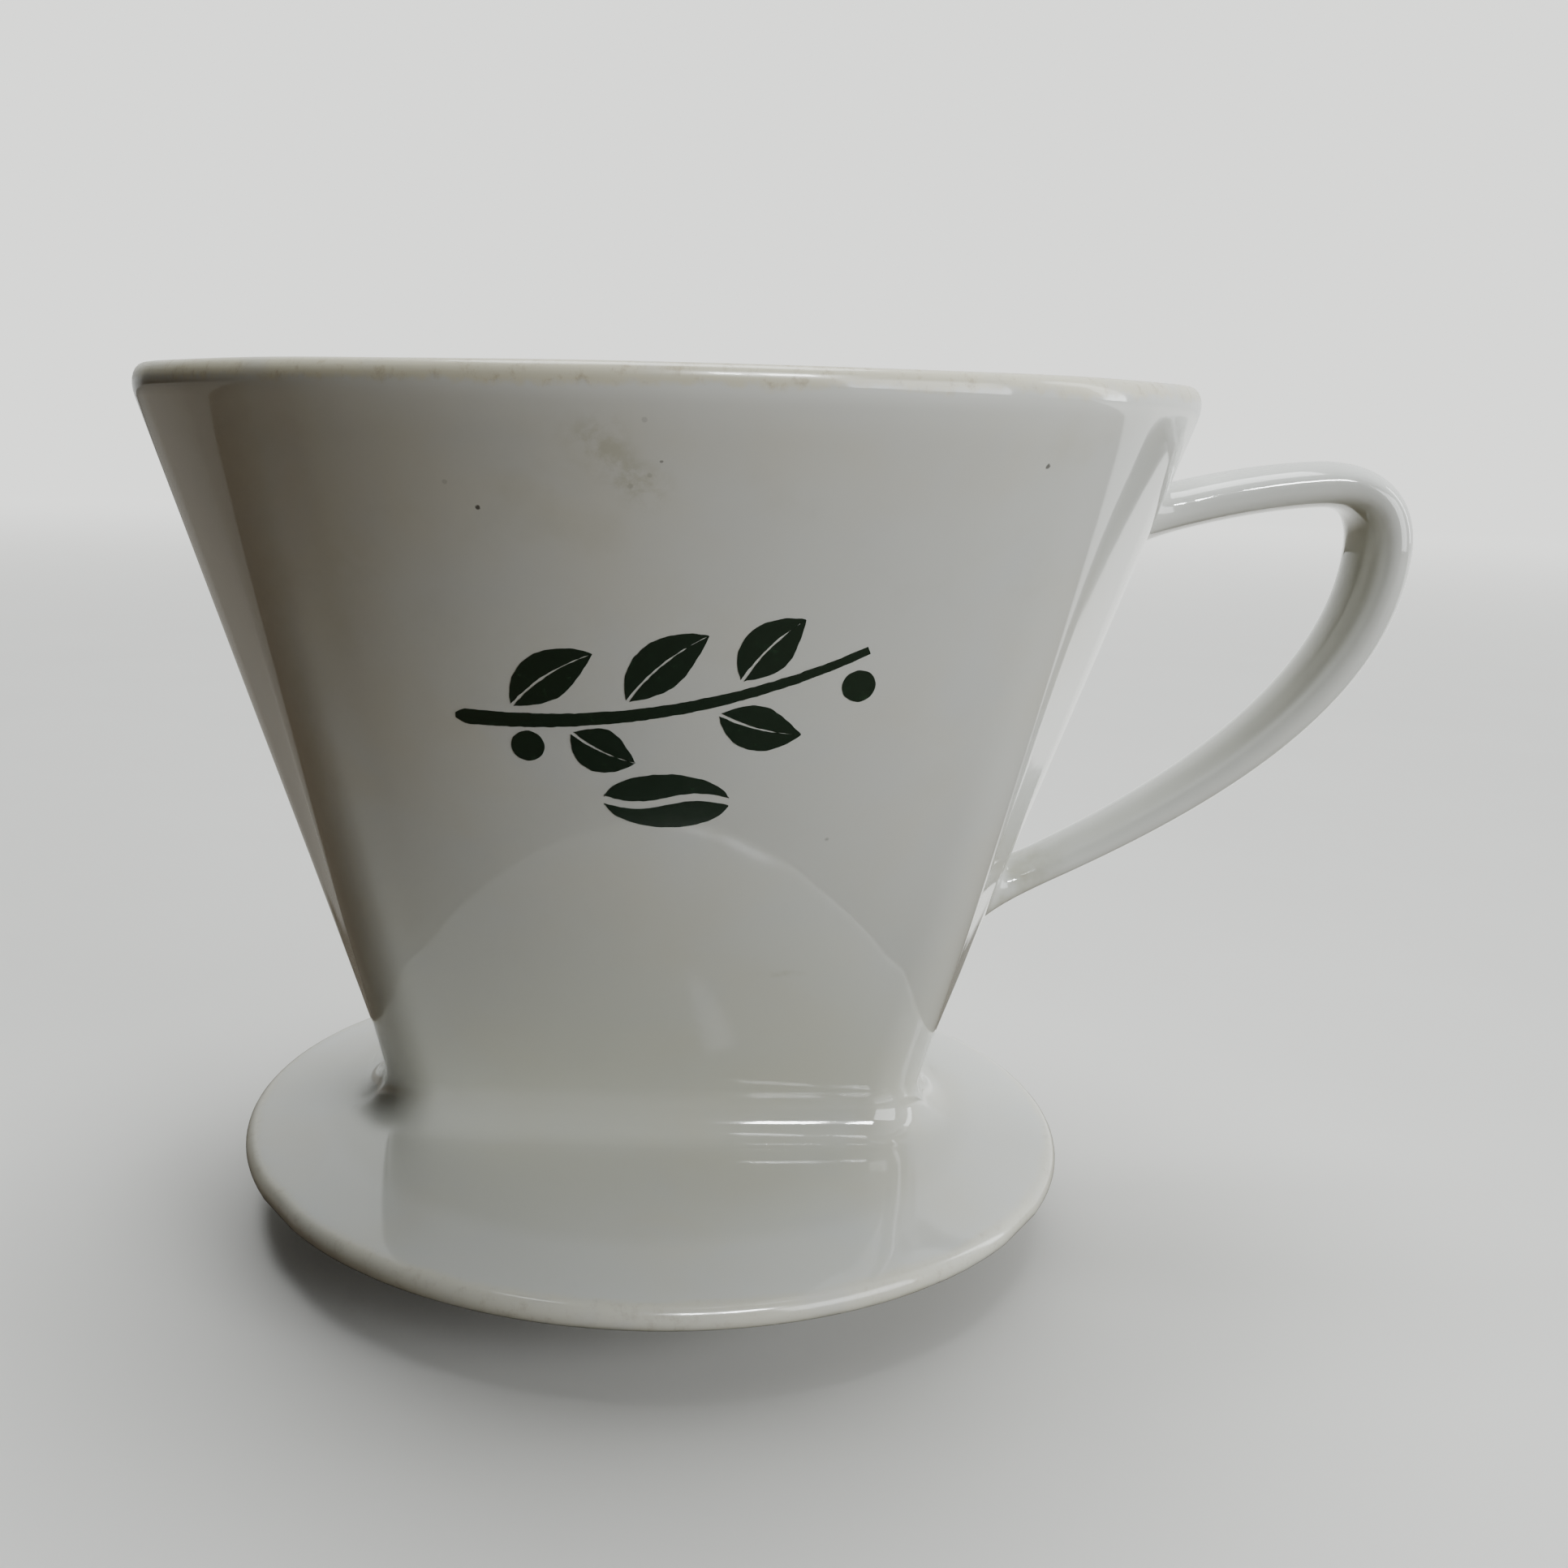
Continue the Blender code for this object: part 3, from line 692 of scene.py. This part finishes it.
def oval_strips(centre, half_size, low_edge=None, high_edge=None):
    """A lying oval; low_edge and high_edge replace its lower or upper edge with a curve."""
    rows = []
    for step in range(OVAL_STEPS + 1):
        angle = lerp(-OVAL_END_ANGLE, OVAL_END_ANGLE, step / OVAL_STEPS)
        x = math.sin(angle) * half_size[0]
        reach = math.cos(angle) * half_size[1]
        low = low_edge(angle, reach) if low_edge else -reach
        high = high_edge(angle, reach) if high_edge else reach
        bottom = centre + Vector((x, low))
        top = centre + Vector((x, high))
        bottom.y -= uneven(bottom)
        top.y += uneven(top)
        rows.append(columns(bottom, top))
    return [rows]


def bean_wave(angle):
    """The middle of the bare crease between the bean's halves."""
    return BEAN_WAVE * math.sin(math.pi * math.sin(angle))


def bean_upper():
    def low_edge(angle, reach):
        return min(bean_wave(angle) + BEAN_CREASE, reach + BEAN_END_GAP)

    def high_edge(angle, reach):
        return max(reach, bean_wave(angle) + BEAN_CREASE + BEAN_TIP)

    return oval_strips(BEAN_CENTRE, BEAN_HALF_SIZE, low_edge, high_edge)


def bean_lower():
    def low_edge(angle, reach):
        return min(-reach, bean_wave(angle) - BEAN_CREASE - BEAN_TIP)

    def high_edge(angle, reach):
        return bean_wave(angle) - BEAN_CREASE

    return oval_strips(BEAN_CENTRE, BEAN_HALF_SIZE, low_edge, high_edge)


def front_point(x, z):
    """The point and the normal of the cone's front at x and z."""
    hit, normal, _, _ = skin_tree.ray_cast(Vector((x, -1, z)), Vector((0, 1, 0)))
    return hit, normal


def laid_down(bm, rows, stand_off):
    """Rows of (x, z) places as points of a mesh that stand a little off the cone's front."""
    layer = []
    for row in rows:
        line = []
        for place in row:
            point, normal = front_point(place.x, place.y)
            line.append(bm.verts.new(point + normal * stand_off))
        layer.append(line)
    return layer


def make_print_piece(node, strips, look):
    """Lays strips of (x, z) places on the glaze as thin closed pieces, in place of a printed node."""
    bm = bmesh.new()
    for rows in strips:
        close_layers(bm, [laid_down(bm, rows, side * PRINT_THICKNESS) for side in (-1, 1)])
    piece = mesh_object(node + "_ink", bm, sharp_degrees=40)
    piece.data.materials.append(look)
    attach(piece, "root")
    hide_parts(node)


def close_layers(bm, layers):
    """Faces over two grids of points, and round their shared outline."""
    for layer in layers:
        for one, two in zip(layer, layer[1:]):
            for i in range(len(one) - 1):
                bm.faces.new((one[i], one[i + 1], two[i + 1], two[i]))
    under, over = [outline(layer) for layer in layers]
    for i in range(len(under)):
        j = (i + 1) % len(under)
        bm.faces.new((under[i], under[j], over[j], over[i]))


def outline(layer):
    """The points round a grid's edge, in order."""
    last_column = [row[-1] for row in layer[1:-1]]
    first_column = [row[0] for row in layer[1:-1]]
    return layer[0] + last_column + layer[-1][::-1] + first_column[::-1]


def make_print(look):
    make_print_piece("printed_stem", stem_strips(), look)
    for number, leaf in enumerate(LEAVES, start=1):
        make_print_piece(f"printed_leaf_{number}", leaf_strips(*leaf), look)
    for number, (place, offset) in enumerate(BERRIES, start=1):
        point, direction = stem_point(place)
        centre = point + Vector((-direction.y, direction.x)) * offset
        berry = oval_strips(centre, (BERRY_RADIUS, BERRY_RADIUS))
        make_print_piece(f"printed_berry_{number}", berry, look)
    make_print_piece("printed_bean_upper", bean_upper(), look)
    make_print_piece("printed_bean_lower", bean_lower(), look)


# Materials.


class Nodes:
    """Short calls for building the node tree of a material or a world."""

    def __init__(self, owner, shader="Principled BSDF", place="Object"):
        owner.use_nodes = True
        self.owner = owner
        self.tree = owner.node_tree
        self.shader = self.tree.nodes[shader]
        self.place = self.add("ShaderNodeTexCoord").outputs[place]

    def add(self, kind, **settings):
        node = self.tree.nodes.new(kind)
        for key, value in settings.items():
            setattr(node, key, value)
        return node

    def feed(self, socket, value):
        """Links a socket into an input, or sets the input to a plain value."""
        if isinstance(value, bpy.types.NodeSocket):
            self.tree.links.new(value, socket)
        else:
            socket.default_value = value

    def math(self, operation, a, b=0.0, clamp=False):
        node = self.add("ShaderNodeMath", operation=operation, use_clamp=clamp)
        self.feed(node.inputs[0], a)
        self.feed(node.inputs[1], b)
        return node.outputs[0]

    def times(self, first, *others):
        """The product of all values."""
        for other in others:
            first = self.math("MULTIPLY", first, other)
        return first

    def inverse(self, share):
        return self.math("SUBTRACT", 1.0, share)

    def wobble(self, size, swing, detail=3.0):
        """A noise about 0 that swings by about half of swing either way."""
        return self.times(self.math("SUBTRACT", self.noise(size, detail, 0.6), 0.5), swing)

    def noise(self, size, detail=3.0, roughness=0.5, distortion=0.0):
        """A noise about 0.5, whose blobs are about size metres wide."""
        node = self.add("ShaderNodeTexNoise")
        self.feed(node.inputs["Vector"], self.place)
        self.feed(node.inputs["Scale"], 1 / size)
        self.feed(node.inputs["Detail"], detail)
        self.feed(node.inputs["Roughness"], roughness)
        self.feed(node.inputs["Distortion"], distortion)
        return node.outputs["Fac"]

    def step(self, value, low, high, soft=True):
        """0 below low and 1 above high."""
        node = self.add("ShaderNodeMapRange", interpolation_type="SMOOTHSTEP" if soft else "LINEAR")
        self.feed(node.inputs["Value"], value)
        self.feed(node.inputs["From Min"], low)
        self.feed(node.inputs["From Max"], high)
        return node.outputs["Result"]

    def range(self, value, low, high):
        """Stretches 0 to 1 into low to high."""
        node = self.add("ShaderNodeMapRange")
        self.feed(node.inputs["Value"], value)
        self.feed(node.inputs["To Min"], low)
        self.feed(node.inputs["To Max"], high)
        return node.outputs["Result"]

    def mix(self, share, a, b):
        """Colour a where share is 0 and colour b where it is 1."""
        node = self.add("ShaderNodeMix", data_type="RGBA")
        colours = [socket for socket in node.inputs if socket.type == "RGBA"]
        self.feed(node.inputs[0], share)
        for socket, colour in zip(colours, (a, b)):
            self.feed(socket, (*colour, 1) if isinstance(colour, tuple) else colour)
        return next(socket for socket in node.outputs if socket.type == "RGBA")

    def axis(self, name):
        node = self.add("ShaderNodeSeparateXYZ")
        self.feed(node.inputs[0], self.place)
        return node.outputs[name]

    def vector(self, operation, a, b=(0, 0, 0)):
        node = self.add("ShaderNodeVectorMath", operation=operation)
        self.feed(node.inputs[0], a)
        self.feed(node.inputs[1], b)
        return node.outputs["Value" if operation in ("LENGTH", "DOT_PRODUCT") else "Vector"]

    def distance(self, point, stretch=(1, 1, 1)):
        """Distance from a point, with each axis stretched first."""
        away = self.vector("SUBTRACT", self.place, point)
        return self.vector("LENGTH", self.vector("MULTIPLY", away, stretch))

    def bump(self, height, strength, distance, normal=None):
        node = self.add("ShaderNodeBump")
        self.feed(node.inputs["Height"], height)
        node.inputs["Strength"].default_value = strength
        node.inputs["Distance"].default_value = distance
        if normal:
            self.feed(node.inputs["Normal"], normal)
        return node.outputs["Normal"]

    def finish(self, **inputs):
        """Feeds the shader's inputs; an underscore in a name stands for a space."""
        for name, value in inputs.items():
            socket = self.shader.inputs[name.replace("_", " ")]
            if isinstance(value, tuple) and socket.type == "RGBA":
                value = (*value, 1)
            self.feed(socket, value)
        return self.owner


def material_nodes(name):
    return Nodes(bpy.data.materials.new(name))


# The glaze, its colours, its painted light and shade, and its gloss.
GLAZE_COLOUR = (0.765, 0.775, 0.745)
GLAZE_WARM = (0.76, 0.74, 0.66)
GLAZE_COOL = (0.74, 0.76, 0.76)
# Painted shade for the wall's lower part.
PAINTED_LOW_SHADE = (0.50, 0.50, 0.46)
# Lighter colour of the thin glaze near the rim, also used for the painted light on the handle.
GLAZE_THIN_AND_PAINTED_LIGHT = (0.86, 0.87, 0.84)
CREAM_COLOUR = (0.83, 0.79, 0.63)
CREAM_DARK = (0.60, 0.53, 0.38)
# Brownish colour of the stains, also used for the painted shade along the flange's lower edge.
STAIN_AND_SHADE_COLOUR = (0.38, 0.365, 0.215)
# Painted shade inside the handle's loop.
PAINTED_LOOP_SHADE = (0.24, 0.225, 0.15)
SPECK_COLOUR = (0.03, 0.025, 0.02)
INK_COLOUR = (0.005, 0.021, 0.009)
INK_THIN = (0.014, 0.048, 0.021)
MOTTLING = 0.6
# Painted light: how far the handle's glaze is mixed towards the lighter colour.
HANDLE_PAINTED_LIGHT = 0.8
GLAZE_IOR = 1.5
GLAZE_ROUGHNESS = (0.04, 0.09)
GLAZE_COAT = 0.6
COAT_ROUGHNESS = 0.04
DRY_ROUGHNESS = 0.5  # added where the glaze is worn off
CREAM_DRYNESS = 0.4
INK_ROUGHNESS = (0.18, 0.30)
INK_COAT = 0.3
INK_COAT_ROUGHNESS = 0.08

# Where the glaze is thin, marked, or carries painted shade. A band sets in at its first distance from the
# rim's top or the flange's edge, and is full at its second. A rise or a fall gives the heights between
# which a mark comes or goes.
RIM_BAND = (2.2 * MM, 1.3 * MM)
THIN_BAND = (7 * MM, 2 * MM)
THIN_STRENGTH = 0.7
EDGE_BAND = (2.2 * MM, 0.8 * MM)
EDGE_STRENGTH = 0.5
STAIN_REACH = (0.2, 1.6)  # in stain sizes
STAIN_STRENGTH = 0.34
VEIL_RISE = (30 * MM, 95 * MM)
VEIL_STRENGTH = 0.16
# Painted shade on the wall's lower part, between these heights.
LOW_PAINTED_SHADE_RISE = (5 * MM, 11 * MM)
LOW_PAINTED_SHADE_FALL = (15 * MM, 60 * MM)
LOW_PAINTED_SHADE_STRENGTH = 0.4
TINT_REACH = (0.30, 0.95)  # in rim radii
TINT_FALL = (4 * MM, 60 * MM)
TINT_STRENGTH = 0.3
# Painted shade along the flange's lower edge.
EDGE_SHADE_BAND = (1.6 * MM, 0.3 * MM)
EDGE_SHADE_FALL = (0.2 * MM, 1.5 * MM)
EDGE_SHADE_STRENGTH = 0.5
WORN_FALL = (0.05 * MM, 0.35 * MM)  # above the foot ring's bottom
WORN_STRENGTH = 0.7
SPECK_REACH = (0.7, 1.3)  # in speck sizes
SPECK_STRENGTH = 0.9
PINHOLE_SPACING = 9 * MM
PINHOLE_REACH = (0.03, 0.06)  # in spacings
PINHOLE_SHARE = 0.03
PINHOLE_RISE = (20 * MM, 22 * MM)
# Painted shade on the strap's side that faces into its loop.
LOOP_FACING = (0.35, 0.95)  # cosine of the angle between the glaze and the middle of the handle's loop
LOOP_RISE = (38 * MM, 78 * MM)
LOOP_STRENGTH = (0.1, 0.8)
JOINT_REACH = (7 * MM, 16 * MM)
JOINT_STRENGTH = 0.6


def glaze_colour(nodes):
    """White, mottled a little warmer and cooler."""
    warm = nodes.step(nodes.noise(22 * MM, 3), 0.42, 0.7)
    cool = nodes.step(nodes.noise(15 * MM, 3, distortion=0.5), 0.48, 0.75)
    colour = nodes.mix(nodes.times(warm, MOTTLING), GLAZE_COLOUR, GLAZE_WARM)
    return nodes.mix(nodes.times(cool, MOTTLING), colour, GLAZE_COOL)


def glaze_bump(nodes):
    """Orange peel at two sizes."""
    ripple = nodes.bump(nodes.noise(9 * MM, 1), 0.15, 0.12 * MM)
    return nodes.bump(nodes.noise(0.7 * MM, 2), 0.02, 0.05 * MM, ripple)


def glaze_finish(nodes, colour, dry=0.0):
    """A glossy glaze of a colour, rougher and without its clear coat where dry is 1."""
    smooth_glaze = nodes.range(nodes.noise(18 * MM, 3), *GLAZE_ROUGHNESS)
    return nodes.finish(
        Base_Color=colour,
        Roughness=nodes.math("ADD", smooth_glaze, nodes.times(dry, DRY_ROUGHNESS)),
        IOR=GLAZE_IOR,
        Coat_Weight=nodes.times(nodes.inverse(dry), GLAZE_COAT),
        Coat_Roughness=COAT_ROUGHNESS,
        Coat_IOR=GLAZE_IOR,
        Normal=glaze_bump(nodes),
    )


def rim_band(nodes, z):
    """1 on the rim, where the glaze has run thin over the cream body, down to a ragged edge."""
    ragged = nodes.wobble(2 * MM, 1.8 * MM, detail=4)
    slow = nodes.wobble(14 * MM, 1.6 * MM, detail=1)
    height = nodes.math("ADD", z, nodes.math("ADD", ragged, slow))
    return nodes.step(height, rim_top - RIM_BAND[0], rim_top - RIM_BAND[1])


def flange_edge_band(nodes, radius, z):
    """The flange's edge, where the glaze is a little thinner too."""
    reach = nodes.math("ADD", radius, nodes.wobble(5 * MM, 1.5 * MM))
    out = nodes.step(reach, flange_radius - EDGE_BAND[0], flange_radius - EDGE_BAND[1])
    below_cone = nodes.inverse(nodes.step(z, flange_top, 2 * flange_top))
    return nodes.times(out, below_cone, EDGE_STRENGTH)


def cream_colour(nodes):
    """The thin glaze's colour, with a few browner spots."""
    spots = nodes.step(nodes.noise(1.6 * MM, 4, 0.7), 0.5, 0.75)
    white = nodes.step(nodes.noise(9 * MM, 2), 0.5, 0.75)
    return nodes.mix(white, nodes.mix(spots, CREAM_COLOUR, CREAM_DARK), GLAZE_WARM)


def front_stains(nodes):
    """Cloudy brownish stains at the places in STAINS."""
    total = 0.0
    for (x, height), size, flatness in STAINS:
        spot, _ = front_point(x * MM, height * MM)
        reach = nodes.distance(spot, (1, 1, flatness))
        near = nodes.inverse(nodes.step(reach, STAIN_REACH[0] * size, STAIN_REACH[1] * size))
        total = nodes.math("ADD", total, near)
    cloud = nodes.step(nodes.noise(2.2 * MM, 5, 0.65, 0.3), 0.36, 0.66)
    return nodes.times(nodes.math("MULTIPLY", total, cloud, clamp=True), STAIN_STRENGTH)


def veil(nodes, z):
    """A faint dinginess that grows towards the rim."""
    patches = nodes.step(nodes.noise(13 * MM, 4, 0.6), 0.5, 0.8)
    return nodes.times(nodes.step(z, *VEIL_RISE), patches, VEIL_STRENGTH)


def low_painted_shade(nodes, z):
    """Painted shade: a greyer colour on the wall's lower part, above the fillet."""
    low = nodes.math("SUBTRACT", nodes.step(z, *LOW_PAINTED_SHADE_RISE), nodes.step(z, *LOW_PAINTED_SHADE_FALL))
    return nodes.times(low, LOW_PAINTED_SHADE_STRENGTH)


def coffee_tint(nodes, radius, z):
    """A faint brown tint on the inside, stronger towards the floor."""
    inside = nodes.inverse(nodes.step(radius, TINT_REACH[0] * rim_radius, TINT_REACH[1] * rim_radius))
    low = nodes.inverse(nodes.step(z, *TINT_FALL))
    above_floor = nodes.step(z, FLOOR_TOP - 0.3 * MM, FLOOR_TOP + 0.1 * MM)
    return nodes.times(inside, low, above_floor, TINT_STRENGTH)


def flange_edge_painted_shade(nodes, radius, z):
    """A thin band of brown painted shade along the flange's lower edge."""
    out = nodes.step(radius, flange_radius - EDGE_SHADE_BAND[0], flange_radius - EDGE_SHADE_BAND[1])
    low = nodes.inverse(nodes.step(z, *EDGE_SHADE_FALL))
    patches = nodes.step(nodes.noise(8 * MM, 4, 0.6), 0.4, 0.7)
    return nodes.times(out, low, patches, EDGE_SHADE_STRENGTH)


def pinholes(nodes, z):
    """A few small pits scattered over the cone."""
    cells = nodes.add("ShaderNodeTexVoronoi")
    nodes.feed(cells.inputs["Vector"], nodes.place)
    nodes.feed(cells.inputs["Scale"], 1 / PINHOLE_SPACING)
    near = nodes.inverse(nodes.step(cells.outputs["Distance"], *PINHOLE_REACH))
    chosen = nodes.add("ShaderNodeSeparateColor")
    nodes.feed(chosen.inputs[0], cells.outputs["Color"])
    lucky = nodes.step(chosen.outputs[0], 1 - PINHOLE_SHARE, 1.01 - PINHOLE_SHARE)
    return nodes.times(near, lucky, nodes.step(z, *PINHOLE_RISE))


def specks(nodes, z):
    """Dark pits: the known ones of SPECKS, and the pinholes."""
    dots = pinholes(nodes, z)
    for (x, height), size, strength in SPECKS:
        spot, _ = front_point(x * MM, height * MM)
        reach = nodes.math("ADD", nodes.distance(spot), nodes.wobble(0.3 * MM, size))
        dot = nodes.inverse(nodes.step(reach, SPECK_REACH[0] * size, SPECK_REACH[1] * size))
        dots = nodes.math("MAXIMUM", dots, nodes.times(dot, strength))
    return nodes.times(dots, SPECK_STRENGTH)


def body_material():
    """Glaze that is thin and cream at both edges, has marks of use and painted shade, and is worn off under
    the foot ring.
    """
    nodes = material_nodes("white_glaze")
    z = nodes.axis("Z")
    radius = nodes.distance((0, 0, 0), (1, 1, 0))
    thin = nodes.step(z, rim_top - THIN_BAND[0], rim_top - THIN_BAND[1])
    cream = nodes.math("MAXIMUM", rim_band(nodes, z), flange_edge_band(nodes, radius, z))
    worn = nodes.inverse(nodes.step(z, foot_bottom + WORN_FALL[0], foot_bottom + WORN_FALL[1]))
    colour = glaze_colour(nodes)
    for share, tint in (
        (front_stains(nodes), STAIN_AND_SHADE_COLOUR),
        (veil(nodes, z), STAIN_AND_SHADE_COLOUR),
        # painted shade low on the wall
        (low_painted_shade(nodes, z), PAINTED_LOW_SHADE),
        (coffee_tint(nodes, radius, z), STAIN_AND_SHADE_COLOUR),
        (nodes.times(thin, THIN_STRENGTH), GLAZE_THIN_AND_PAINTED_LIGHT),
        (cream, cream_colour(nodes)),
        # painted shade along the flange's lower edge
        (flange_edge_painted_shade(nodes, radius, z), STAIN_AND_SHADE_COLOUR),
        (specks(nodes, z), SPECK_COLOUR),
        (nodes.times(worn, WORN_STRENGTH), CREAM_DARK),
    ):
        colour = nodes.mix(share, colour, tint)
    dry = nodes.math("MAXIMUM", worn, nodes.times(cream, CREAM_DRYNESS))
    return glaze_finish(nodes, colour, dry)


def loop_painted_shade(nodes):
    """Painted shade on the side of the strap that faces into its loop, strongest in the upper bend."""
    inwards = nodes.vector("NORMALIZE", nodes.vector("SUBTRACT", HANDLE_MIDDLE, nodes.place))
    normal = nodes.add("ShaderNodeTexCoord").outputs["Normal"]
    facing = nodes.step(nodes.vector("DOT_PRODUCT", inwards, normal), *LOOP_FACING)
    strength = nodes.range(nodes.step(nodes.axis("Z"), *LOOP_RISE), *LOOP_STRENGTH)
    return nodes.times(facing, strength)


def joint_grime(nodes):
    """A little brown dirt where the lower joint meets the wall."""
    lower_end, _ = handle_path()[-1]
    near = nodes.inverse(nodes.step(nodes.distance(lower_end), *JOINT_REACH))
    return nodes.times(near, nodes.step(nodes.noise(5 * MM, 3, 0.6), 0.3, 0.75), JOINT_STRENGTH)


def handle_material():
    """The same glaze made lighter as painted light, with painted shade inside the loop and dingier at the
    lower joint.
    """
    nodes = material_nodes("glazed_slip")
    # Painted light: the handle is lighter than the body.
    colour = nodes.mix(HANDLE_PAINTED_LIGHT, glaze_colour(nodes), GLAZE_THIN_AND_PAINTED_LIGHT)
    # Painted shade on the side that faces into the loop.
    colour = nodes.mix(loop_painted_shade(nodes), colour, PAINTED_LOOP_SHADE)
    return glaze_finish(nodes, nodes.mix(joint_grime(nodes), colour, STAIN_AND_SHADE_COLOUR))


def ink_material():
    """Dark green fired print, a little lighter where it is thin."""
    nodes = material_nodes("green_print")
    thin = nodes.step(nodes.noise(1.1 * MM, 4, 0.65), 0.55, 0.8)
    return nodes.finish(
        Base_Color=nodes.mix(thin, INK_COLOUR, INK_THIN),
        Roughness=nodes.range(nodes.noise(0.9 * MM, 3), *INK_ROUGHNESS),
        IOR=GLAZE_IOR,
        Coat_Weight=INK_COAT,
        Coat_Roughness=INK_COAT_ROUGHNESS,
        Normal=nodes.bump(nodes.noise(0.5 * MM, 3), 0.15, 0.03 * MM),
    )


# Stage.


def make_floor():
    """A pale floor that fades into the backdrop; mirrored, it is dark but glows behind the object."""
    bm = bmesh.new()
    bmesh.ops.create_grid(bm, x_segments=1, y_segments=1, size=FLOOR_HALF_SIZE)
    floor = mesh_object("floor", bm)
    floor.location.z = foot_bottom
    nodes = material_nodes("pale_floor")
    shade = nodes.mix(nodes.noise(60 * MM, 4), *FLOOR_COLOURS)
    ray = nodes.add("ShaderNodeLightPath")
    seen, mirrored = ray.outputs["Is Camera Ray"], ray.outputs["Is Glossy Ray"]
    far = nodes.step(nodes.distance((0, 0, 0)), *FLOOR_FADE)
    shade = nodes.mix(seen, FLOOR_BOUNCE, nodes.mix(far, shade, BLACK))
    behind = nodes.step(nodes.axis("Y"), GLOW_START, GLOW_START + GLOW_RISE)
    strength = nodes.range(nodes.step(nodes.axis("X"), *GLOW_TURN), *GLOW_STRENGTH)
    glow = nodes.times(behind, mirrored, strength)
    look = nodes.finish(
        Base_Color=shade,
        Roughness=0.6,
        Specular_IOR_Level=nodes.times(nodes.inverse(far), 0.5),
        Emission_Color=nodes.mix(seen, ROOM_BRIGHT, BACKDROP),
        Emission_Strength=nodes.math("ADD", glow, nodes.times(far, seen)),
    )
    floor.data.materials.append(look)


def make_world():
    """A room that is bright behind the object on the handle's side, and dark in front on the left.

    The camera itself sees an even pale backdrop.
    """
    world = bpy.data.worlds.new("studio")
    bpy.context.scene.world = world
    nodes = Nodes(world, "Background", "Generated")
    along = nodes.vector("DOT_PRODUCT", nodes.place, ROOM_BRIGHT_SIDE)
    lit = nodes.mix(nodes.step(along, *ROOM_TURN), ROOM_DARK, ROOM_BRIGHT)
    seen = nodes.add("ShaderNodeLightPath").outputs["Is Camera Ray"]
    nodes.finish(Color=nodes.mix(seen, lit, BACKDROP))


def window(name, azimuth, elevation, size, radiance, gloss_only=False):
    """A lit pane that faces the object; azimuth runs from the front towards the handle, in degrees."""
    width, height = size
    data = bpy.data.lights.new(name, "AREA")
    data.shape = "RECTANGLE"
    data.size, data.size_y = width, height
    data.energy = radiance * math.pi * width * height
    data.color = WINDOW_COLOUR
    lamp = bpy.data.objects.new(name, data)
    bpy.context.scene.collection.objects.link(lamp)
    lamp.visible_diffuse = not gloss_only
    turn, rise = math.radians(azimuth), math.radians(elevation)
    outward = Vector((math.sin(turn) * math.cos(rise), -math.cos(turn) * math.cos(rise), math.sin(rise)))
    lamp.location = Vector((0, 0, WINDOW_AIM)) + outward * WINDOW_DISTANCE
    lamp.rotation_euler = outward.to_track_quat("Z", "Y").to_euler()


def make_lights():
    """A broad window in front, one overhead, and three panes that show only in reflections."""
    window("window_right", 52, 15, (0.95, 0.85), 6.7)
    window("window_side", 100, 20, (0.22, 1.0), 7, gloss_only=True)
    window("window_above", 185, 80, (1.1, 0.8), 8)
    window("glint_pane_left", 13, 40, (0.14, 0.2), 100, gloss_only=True)
    window("glint_pane_right", 27, 40, (0.26, 0.2), 100, gloss_only=True)


def make_camera():
    """The photograph's camera; its picture is an off-centre crop, hence the shift."""
    data = bpy.data.cameras.new("camera")
    data.lens = CAMERA_LENS
    data.shift_x = CAMERA_SHIFT
    data.clip_start = 0.001
    camera = bpy.data.objects.new("camera", data)
    bpy.context.scene.collection.objects.link(camera)
    ahead = Vector((
        math.sin(CAMERA_YAW) * math.cos(CAMERA_PITCH),
        math.cos(CAMERA_YAW) * math.cos(CAMERA_PITCH),
        -math.sin(CAMERA_PITCH),
    ))
    right = Vector((math.cos(CAMERA_YAW), -math.sin(CAMERA_YAW), 0))
    above = right.cross(ahead)
    turned_right = math.cos(CAMERA_ROLL) * right + math.sin(CAMERA_ROLL) * above
    turned_above = turned_right.cross(ahead)
    axes = Matrix((turned_right, turned_above, -ahead)).transposed()
    camera.matrix_world = Matrix.Translation(CAMERA_PLACE) @ axes.to_4x4()
    bpy.context.scene.camera = camera


body = make_skin()
skin_tree = BVHTree.FromObject(body, bpy.context.evaluated_depsgraph_get())
body.data.materials.append(body_material())
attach(body, "root")
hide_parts("filter_cone", "base_flange", "base_fillet", "foot_ring")

handle = make_handle(handle_material())
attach(handle, "root")
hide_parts("handle", "upper_handle_joint", "lower_handle_joint")

make_print(ink_material())
make_floor()
make_world()
make_lights()
make_camera()
